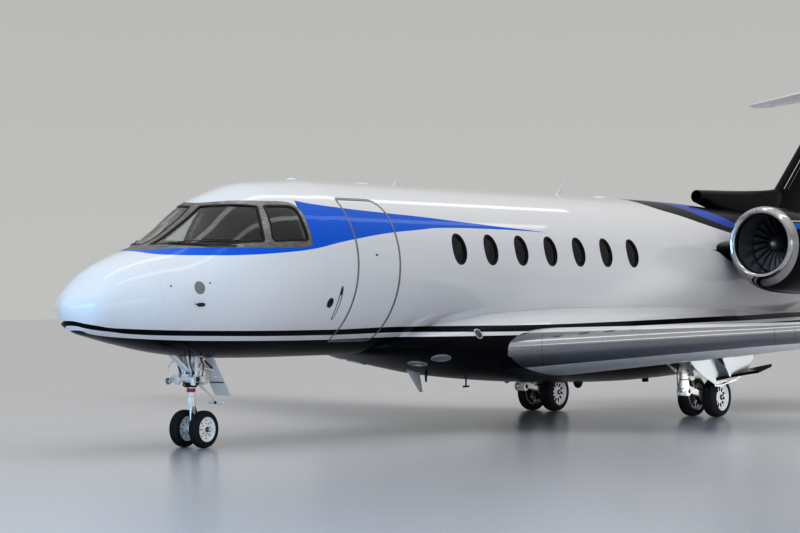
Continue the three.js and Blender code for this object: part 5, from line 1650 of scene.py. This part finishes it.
def plate(corners, radii, low, high):
    """A plate across y, drawn in station and height, with softened edges."""
    line, bevel = outline(corners, radii), 0.003
    levels = [(low, bevel), (low + bevel, 0.0), (high - bevel, 0.0), (high, bevel)]
    return loft([stand(grown(line, -inset) if inset else line, y=y) for y, inset in levels])


def side_part(parts, sign):
    """Starboard parts as one, put on a side."""
    return at_station(on_side(merge(*parts), sign))


def add_main_leg(side, sign):
    s, y = MAIN_LEG, MAIN_LEG_Y
    leg = rods(MAIN_LEG_RODS, s, y) + blocks(MAIN_LEG_BLOCKS, s, y)
    leg += [bar(s, 0.50, 0.67, 0.070, 36, 0.006, y, 0.060), bar(s, 0.405, 0.545, 0.092, 40, 0.010, y, 0.074)]
    leg += [rod(at + (s, y - 0.062, 0.70), at + (s, y + 0.062, 0.70), 0.006, sides=6)
            for at in circle(8, 0.055, 0, "y")]
    piece(f"{side}_leg_castings", side_part(leg, sign), "gear", replaces=[f"{side}_main_gear_leg"], angle=40)
    dark = rods(MAIN_DARK_RODS, s, y) + pipes(MAIN_HOSES, s, y)
    dark += blocks([(-98, -12, 425, -70, 45, 437, 3)], s, y)
    piece(f"{side}_leg_hoses", side_part(dark, sign), "gear_dark", angle=40)
    ram = rod((s - 0.045, y - 0.235, 0.772), (s - 0.058, y - 0.40, 0.885), 0.013)
    piece(f"{side}_leg_ram", side_part([ram], sign), "chrome")


def add_main_arm(side, sign):
    """The trailing arm with its shock strut and brakes."""
    s, y, axle, axle_z = MAIN_LEG, MAIN_LEG_Y, MAIN_AXLE, MAIN_WHEEL["radius"]
    rings = []
    for share in np.linspace(0, 1, 13):
        middle = 0.415 + (axle_z - 0.415) * share**1.3
        line = oval((y, middle), 0.050 - 0.010 * share, 0.062 - 0.016 * math.sin(math.pi * share), 3.5, 28)
        rings.append(stand(line, x=s + 0.085 + (axle - s - 0.085) * share))
    arm = [loft(rings), bar(11.475, 0.345, 0.40, 0.032, 20, 0.006, y, 0.026)] + rods(MAIN_ARM_RODS, s, y)
    piece(f"{side}_trailing_arm_casting", side_part(arm, sign), "gear", replaces=[f"{side}_trailing_arm"],
          angle=40)
    strut = rod((11.475, y, 0.360), (11.355, y, 0.59), 0.024, sides=28)
    piece(f"{side}_shock_strut", side_part([strut], sign), "chrome")
    brakes = []
    for step in (-1, 1):
        inner, outer = y + step * 0.058, y + step * 0.088
        brakes.append(rod((axle, inner, axle_z), (axle, outer, axle_z), 0.118, sides=40, bevel=0.008))
        brakes += [rod(at + (axle, inner - step * 0.012, axle_z), at + (axle, outer, axle_z), 0.020, sides=16,
                       bevel=0.004) for at in circle(6, 0.09, 30, "y")]
    piece(f"{side}_brakes", side_part(brakes, sign), "gear_dark", angle=40)
    hose = pipe([(11.24, y + 0.01, 0.355), (11.29, y + 0.015, 0.22), (11.39, y + 0.02, 0.135),
                 (11.50, y + 0.02, 0.125), (11.62, y + 0.02, 0.20)], 0.009)
    canister = rod((11.42, y + 0.02, 0.20), (11.435, y + 0.02, 0.27), 0.018, bevel=0.005)
    piece(f"{side}_brake_hose", side_part([hose, canister], sign), "trim_metal")


def add_leg_door(side, sign):
    """The door fixed to the main leg, with its lip, bracket and a black sheet behind it, painted shade for
    the dark wheel well.
    """
    panel = plate([(10.665, 0.86), (11.404, 0.90), (11.995, 0.60), (11.514, 0.459), (10.982, 0.657)],
                  (0.03, 0.04, 0.03, 0.09, 0.30), 1.748, 1.764)
    web = plate([(11.42, 0.60), (11.96, 0.70), (12.17, 0.945), (11.18, 0.90)], (0.02, 0.04, 0.05, 0.02),
                2.003, 2.019)
    piece(f"{side}_leg_door_panel", side_part([panel, web], sign), "door_grey", replaces=[f"{side}_leg_door"],
          angle=40)
    # A black sheet behind the door's gap: painted shade where the wheel well lies in shadow.
    screen = plate([(11.42, 0.70), (11.80, 0.66), (11.86, 0.88), (11.42, 0.90)], (0.02,) * 4, 1.690, 1.700)
    piece(f"{side}_well_painted_shade_sheet", side_part([screen], sign), "seal")
    front_edge = Vector((11.46, 1.752, 0.535)), Vector((11.40, 2.475, 0.670))
    back_edge = Vector((11.95, 1.752, 0.605)), Vector((11.94, 2.475, 0.750))
    lip, up = [], Vector((0, 0, 0.040))
    for share in np.linspace(0, 1, 9):
        swell = 0.008 * math.sin(math.pi * share)
        front = front_edge[0].lerp(front_edge[1], share) + Vector((0.02 * share, 0, swell))
        back = back_edge[0].lerp(back_edge[1], share) + Vector((-0.12 * share**3, 0, swell))
        lip.append(np.array([front, back, back + up, front + up]))
    piece(f"{side}_leg_door_lip", side_part([loft(lip)], sign), "black", angle=40)
    bracket = rods([(11420, 1770, 500, 11600, 1860, 540, 10, 20, 0),
                    (11720, 1955, 556, 11740, 2003, 600, 18, 16, 4)])
    bracket += pipes([(13, 11420, 1765, 475, 11500, 1800, 468, 11620, 1880, 512, 11720, 1960, 560)])
    piece(f"{side}_leg_door_bracket", side_part(bracket, sign), "gear", angle=40)


def add_main_gear():
    for side, sign in SIDES.items():
        add_main_leg(side, sign)
        add_main_arm(side, sign)
        add_leg_door(side, sign)
        for name, step in (("inner", -1), ("outer", 1)):
            place = MAIN_AXLE, sign * (MAIN_LEG_Y + step * MAIN_TYRE_Y)
            add_wheel(f"{side}_{name}_main_wheel", f"{side}_main_wheels", place, step * sign, MAIN_WHEEL)


# Cabin

FLOOR_TOP = 1.36
SEAT_FRONTS = [(6.9, -1), (7.5, 1), (9.0, -1), (9.6, 1)]
CREW_SEAT_FRONT, CREW_SEAT_Y, CABIN_SEAT_Y = 2.56, 0.43, 0.595
# The seat pads' grid, furthest swelling and seams in metres, their pressure and the frames they swell for
PAD_VOXEL, PAD_SWELL, SEAM_DEPTH, SEAM_WIDTH, PAD_PRESSURE, CLOTH_FRAMES = 0.022, 0.022, 0.009, 0.014, 4.0, 16


def hull_half_width(station, z, inset):
    """Half the fuselage's width at a station and height, inset from its skin."""
    crown, keel, half, widest = hull.at(station)
    rise = (crown - widest if z >= widest else widest - keel) - inset
    return max(half - inset, 0) * math.sqrt(max(1 - ((z - widest) / rise) ** 2, 0))


def add_floor():
    stations = [1.55, 2.0, 2.5, 3.0, 3.4, 3.855, 3.86, 4.71, 4.715, 5.3, 6.5, 8.0, 9.5, 11.0, 11.78]
    right = [(s, hull_half_width(s, 1.29, WALL + 0.012)) for s in stations]
    left = [(s, -0.455 if 3.858 < s < 4.712 else -y) for s, y in right]
    line = np.array(right + left[::-1])
    rings = [stand(line, z=z) for z in (1.286, 1.3585)]
    piece("cabin_floor_panel", at_station(loft(rings)), "carpet", replaces=["cabin_floor"])
    skirts = []
    for sign in SIDES.values():
        rings = []
        for s in np.linspace(5.4, 11.7, 22):
            wall = [(hull_half_width(s, z, WALL + 0.004), z) for z in (1.365, 1.6, 1.85)]
            inner = [(y - depth, z) for (y, z), depth in zip(wall, (0.03, 0.05, 0.06))]
            rings.append([(s, y * sign, z) for y, z in wall + inner[::-1]])
        skirts.append(loft(rings))
    piece("cabin_side_ledges", at_station(merge(*skirts)), "trim", angle=30)


def add_panel():
    rings = []
    for s, top, foot in ((1.80, 2.265, 2.18), (1.86, 2.285, 2.02), (1.95, 2.288, 1.93), (2.01, 2.265, 1.905)):
        half = min(hull_half_width(s, 2.2, WALL + 0.02), hull_half_width(s, foot, WALL + 0.02))
        rings.append(stand(oval((0, (top + foot) / 2), half, (top - foot) / 2, 5, 48), x=s))
    parts = [loft(rings), block((1.90, -0.148, 1.362), (2.345, 0.148, 1.93), 0.02)]
    hood = []
    for y in np.linspace(-0.70, 0.70, 25):
        drop = 0.05 * (abs(y) / 0.70) ** 3
        hood.append([(1.82, y, 2.262 - drop), (2.09, y, 2.30 - drop), (2.105, y, 2.292 - drop),
                     (2.09, y, 2.284 - drop), (1.82, y, 2.246 - drop)])
    parts.append(loft(hood))
    for y in (-0.33, 0.33):
        rings = [stand(oval((y, 2.335), 0.22 * k, 0.075 * k, 2.6, 32), x=s)
                 for s, k in ((2.02, 0.75), (2.035, 0.97), (2.10, 1.0), (2.20, 0.96), (2.212, 0.80))]
        parts.append(loft(rings))
    piece("flight_panel", at_station(merge(*parts)), "trim", replaces=["instrument_panel"],
          angle=40)
    screens = [block((2.008, y - 0.11, 2.02), (2.016, y + 0.11, 2.20), 0.004)
               for y in (-0.50, -0.19, 0.19, 0.50)]
    piece("flight_screens", at_station(merge(*screens)), "screen")
    yokes = []
    for y in (-CREW_SEAT_Y, CREW_SEAT_Y):
        yokes += [rod((2.02, y, 1.95), (2.22, y, 1.97), 0.018),
                  pipe([(2.22, y - 0.13, 2.08), (2.23, y - 0.12, 1.99), (2.22, y, 1.97),
                        (2.23, y + 0.12, 1.99), (2.22, y + 0.13, 2.08)], 0.014)]
    yokes += [rod((2.20, y, 1.93), (2.17, y, 2.02), 0.012) for y in (-0.04, 0.04)]
    piece("flight_controls", at_station(merge(*yokes)), "gear_dark", angle=40)


def soft_pad(low, high, corner, lean=0.0):
    """A pad swollen as cloth from a softened box, at the origin's seat."""
    pad = new_object("soft_pad", block(low, high, corner))
    for vertex in pad.data.vertices:
        vertex.co.x += lean * (vertex.co.z - low[2])
    remesh = pad.modifiers.new("remesh", "REMESH")
    remesh.mode, remesh.voxel_size = "VOXEL", PAD_VOXEL
    settle(pad)
    scene = bpy.context.scene
    rest = [v.co.copy() for v in pad.data.vertices]
    cloth = pad.modifiers.new("cloth", "CLOTH")
    cloth.settings.use_pressure = True
    cloth.settings.uniform_pressure_force = PAD_PRESSURE
    cloth.settings.effector_weights.gravity = 0.0
    cloth.point_cache.frame_end = CLOTH_FRAMES
    for frame_number in range(1, CLOTH_FRAMES + 1):
        scene.frame_set(frame_number)
    settle(pad)
    scene.frame_set(1)
    for vertex, start in zip(pad.data.vertices, rest):
        swell = vertex.co - start
        if swell.length > PAD_SWELL:
            vertex.co = start + swell * (PAD_SWELL / swell.length)
    step = pad.modifiers.new("smooth", "SUBSURF")
    step.levels = step.render_levels = 1
    settle(pad)
    points = np.array([v.co[:] for v in pad.data.vertices])
    faces = [tuple(f.vertices) for f in pad.data.polygons]
    mesh = pad.data
    bpy.data.objects.remove(pad)
    bpy.data.meshes.remove(mesh)
    return points, faces


def sewn(part, axis, places, face_axis, face_sign):
    """Presses sewn channels into one side of a pad."""
    points, faces = part
    points = points.copy()
    middle = points[:, face_axis].mean()
    on_face = (points[:, face_axis] - middle) * face_sign > 0.01
    for place in places:
        dent = SEAM_DEPTH * np.exp(-(((points[:, axis] - place) / SEAM_WIDTH) ** 2))
        points[on_face, face_axis] -= face_sign * dent[on_face]
    return points, faces


def add_seats():
    """Seats facing forwards, drawn about their front edge, then set in place or turned about."""
    cushion = soft_pad((0.03, -0.155, 0.285), (0.395, 0.155, 0.405), 0.035)
    cushion = sewn(cushion, 0, (0.14, 0.26), 2, 1)
    back = soft_pad((0.425, -0.165, 0.42), (0.505, 0.165, 0.83), 0.03, 0.17)
    back = sewn(back, 2, (0.53, 0.63, 0.73), 0, -1)
    head = soft_pad((0.49, -0.12, 0.865), (0.55, 0.12, 1.02), 0.028, 0.17)
    frame_part = merge(
        block((0.02, -0.19, 0.20), (0.46, 0.19, 0.272), 0.02),
        block((0.05, -0.238, 0.28), (0.43, -0.188, 0.60), 0.018),
        block((0.05, 0.188, 0.28), (0.43, 0.238, 0.60), 0.018),
        turned(block((0.515, -0.185, 0.28), (0.545, 0.185, 0.99), 0.014), (0.53, 0, 0.28), (0, 1, 0), 9.5),
        rod((0.24, 0, 0.03), (0.24, 0, 0.21), 0.07, 0.05, 24, 0.01),
        block((0.10, -0.12, 0.002), (0.38, 0.12, 0.035), 0.012),
    )

    def spread(part, places):
        copies = [moved((part[0] * [facing, facing, 1], part[1]), (front, y, FLOOR_TOP))
                  for front, facing, y in places]
        return at_station(merge(*copies))

    rows = {f"{side}_cabin": [(front, facing, sign * CABIN_SEAT_Y) for front, facing in SEAT_FRONTS]
            for side, sign in SIDES.items()}
    rows["crew"] = [(CREW_SEAT_FRONT, 1, y) for y in (-CREW_SEAT_Y, CREW_SEAT_Y)]
    for name, places in rows.items():
        node = "cockpit_seats" if name == "crew" else f"{name}_seats"
        pads = piece(f"{name}_seat_pads", spread(merge(cushion, back, head), places), "leather",
                     replaces=[node], angle=180)
        piece(f"{name}_seat_frames", spread(frame_part, places), "trim", angle=40)


# Small fittings


def add_steps():
    """The stairs on the inside of the entry door."""
    treads = []
    for i in range(4):
        z = 1.52 + 0.34 * i
        y = -(hull_half_width(4.3, z, WALL + 0.004))
        treads.append(block((3.97, y + 0.004, z - 0.012), (4.60, y + 0.20, z + 0.012), 0.006))
        treads += [block((x - 0.009, y + 0.002, z - 0.09), (x + 0.009, y + 0.18, z - 0.012), 0.004)
                   for x in (4.02, 4.55)]
    rails = []
    for x in (3.945, 4.625):
        line = [(x, -(hull_half_width(4.3, z, WALL + 0.03)), z) for z in (1.42, 1.75, 2.1, 2.45, 2.68)]
        rails.append(pipe(line, 0.014))
    piece("door_steps", at_station(merge(*treads)), "gear_dark", body="entry_door")
    piece("door_step_rails", at_station(merge(*rails)), "hub", body="entry_door")


def patch(skin, line, lift):
    """A thin plate on the skin."""
    return skin.sheet(line, lift, 0.012, 5)


def add_side_fittings():
    for side, sign in SIDES.items():
        skin = side_skin(sign)
        port_line = oval((1.372, 1.882), 0.056, 0.062)
        piece(f"{side}_static_port", patch(skin, port_line, 0.002), "plate", field=hull.field)
        ring = skin.strip(port_line, oval((1.372, 1.882), 0.066, 0.072), 0.0035, 0.01)
        dots = [patch(skin, oval(c, 0.011, 0.012, 2, 20), 0.003) for c in
                ((1.016, 1.902), (1.512, 1.936), (1.35, 1.905), (1.395, 1.862))]
        base = patch(skin, oval((1.394, 1.690), 0.052, 0.020, 3, 32), 0.008)
        y = sign * (hull_half_width(1.394, 1.69, 0) + 0.004)
        vane = merge(rod((1.41, y, 1.690), (1.36, y + sign * 0.05, 1.694), 0.012, 0.009),
                     rod((1.40, y + sign * 0.05, 1.690), (1.235, y + sign * 0.052, 1.698), 0.008, 0.006))
        piece(f"{side}_probe", merge(base, at_station(vane)), "gear_dark", angle=40)
        piece(f"{side}_side_marks", merge(ring, *dots), "trim_metal", angle=40)

    skin = side_skin(PORT)
    cap_line = oval((3.447, 1.703), 0.050, 0.054)
    piece("service_cap", patch(skin, cap_line, 0.003), "seal")
    rim = skin.strip(cap_line, oval((3.447, 1.703), 0.056, 0.060), 0.004, 0.01)
    inner, outer = (oval((3.61, 1.70), *half, 2.8, 44) for half in ((0.016, 0.190), (0.030, 0.205)))
    piece("door_handle_frame", merge(rim, skin.strip(inner, outer, 0.003, 0.01)), "trim_metal", angle=40)
    handle = merge(patch(skin, oval((3.61, 1.84), 0.015, 0.045, 2.8, 32), 0.0045),
                   patch(skin, oval((4.263, 2.286), 0.022, 0.010, 2.8, 24), 0.0025))
    piece("door_handle", handle, "seal")
    bar_line = oval((3.61, 1.66), 0.015, 0.13, 2.8, 40)
    piece("door_handle_bar", patch(skin, bar_line, 0.0015), "white")


def fin_plate(foot, chord, tip, tip_chord, thickness):
    """A blade aerial on the centre line. Its foot and tip are station and height."""
    rings = []
    for share in np.linspace(0, 1, 6):
        s = foot[0] + (tip[0] - foot[0]) * share
        z = foot[1] + (tip[1] - foot[1]) * share
        c = chord + (tip_chord - chord) * share
        shares = np.linspace(0, 1, 9) ** 1.5
        half = section_curve(shares) * thickness * 1.4 * (1 - 0.5 * share) + 0.0008
        x = s + shares * c
        flat = np.vstack([np.stack([x, half], axis=1)[::-1], np.stack([x, -half], axis=1)[1:]])
        rings.append(stand(flat, z=z))
    return loft(rings)


def bump_form(station, length, half_width, height, z, down=False):
    """A low smooth blister on the crown or the keel."""
    rings = []
    for share in np.linspace(0, 1, 9):
        k = math.sqrt(max(1 - share**2, 0.0004))
        rings.append(np.array([(station + length / 2 * k * math.cos(t), half_width * k * math.sin(t),
                                z + (-1 if down else 1) * height * share)
                               for t in np.linspace(0, 2 * math.pi, 40, endpoint=False)]))
    return loft(rings)


def add_antennas():
    crown = [
        bump_form(3.94, 0.20, 0.05, 0.03, 3.222),
        bump_form(5.333, 0.35, 0.085, 0.022, 3.222),
        fin_plate((5.98, 3.215), 0.17, (6.06, 3.29), 0.08, 0.016),
        bump_form(11.10, 0.31, 0.10, 0.035, 3.222),
        bump_form(9.93, 0.20, 0.045, 0.02, 3.222),
    ]
    piece("crown_antennas", at_station(merge(*crown)), "white", angle=50)
    whip = fin_plate((9.90, 3.23), 0.10, (10.20, 3.491), 0.028, 0.010)
    piece("crown_whip", at_station(whip), "white", angle=50)
    under = [
        fin_plate((6.28, 0.83), 0.30, (6.60, 0.499), 0.07, 0.020),
        bump_form(8.661, 0.10, 0.03, 0.035, 0.585, True),
        bump_form(9.36, 0.10, 0.03, 0.035, 0.553, True),
    ]
    piece("keel_blade", at_station(merge(*under)), "white", angle=50)
    stubs = [
        rod((6.745, 0, 0.75), (6.745, 0, 0.628), 0.020, 0.012, bevel=0.004),
        rod((7.668, 0, 0.65), (7.668, 0, 0.54), 0.010),
        rod((7.60, 0, 0.538), (7.74, 0, 0.538), 0.011, bevel=0.004),
        bump_form(10.502, 0.15, 0.07, 0.105, 0.525, True),
        block((12.36, -0.035, 0.455), (12.45, 0.035, 0.56), 0.012),
    ]
    piece("keel_stubs", at_station(merge(*stubs)), "gear_dark", angle=50)


# Station, y, height, half width and half height
FAIRING_LAMPS = ((5.875, 0.505, 0.907, 0.135, 0.095), (5.879, 0.878, 0.984, 0.135, 0.095),
                 (6.393, 1.097, 1.287, 0.058, 0.064))


def add_fairing_lights():
    """Two oval lamps low on each side of the fairing, and a round one above them."""
    for side, sign in SIDES.items():
        glass_parts, bowls, rims = [], [], []
        for s, y, z, *half in FAIRING_LAMPS:
            point = np.array([s - SHIFT, y * sign, z])
            skin = Skin(belly, point, gradient(belly.field, point[None])[0], reach=0.5)
            line = oval((0, 0), *half, 2.2, 40)
            glass_parts.append(skin.sheet(line, 0.010, 0.006, 6))
            bowls.append(skin.sheet(line * 0.92, 0.003, 0.004, 6))
            rims.append(skin.strip(line, line * 1.14, 0.012, 0.02))
        piece(f"{side}_fairing_lamp_glass", merge(*glass_parts), "lens", field=belly.field)
        # The silvered reflector bowls are drawn in flat bright white, a painted reflection of the bright
        # surroundings they mirror.
        piece(f"{side}_fairing_lamp_bowls", merge(*bowls[:2]), "bright",
              field=belly.field)
        piece(f"{side}_root_lamp_bowl", bowls[2], "gear_dark", field=belly.field)
        piece(f"{side}_fairing_lamp_rims", merge(*rims), "hub", angle=40)


def add_wipers():
    """Black wiper arms lying along the foot of each windshield."""
    for side, sign in SIDES.items():
        skin, _ = pane_skin("windshield", sign)
        arm, blade = (skin.flat(np.array(spots) * [1, sign, 1] - [SHIFT, 0, 0]) for spots in (
            [(1.45, 0.24, 2.350), (1.60, 0.44, 2.340), (1.80, 0.64, 2.335), (2.02, 0.77, 2.350)],
            [(1.52, 0.32, 2.375), (2.10, 0.76, 2.405)]))
        arm_path, blade_path = skin.lay(arm, 0.012), skin.lay(np.linspace(*blade, 6), 0.007)
        piece(f"{side}_wiper", merge(pipe(arm_path, 0.006), pipe(blade_path, 0.006)), "gear_dark",
              angle=40)


for add in (
    add_fuselage, add_panes, add_wings, add_tail, add_engines, add_nose_leg, add_nose_door, add_nose_fork,
    add_main_gear, add_floor, add_panel, add_seats, add_steps, add_side_fittings, add_antennas,
    add_fairing_lights, add_wipers,
):
    add()
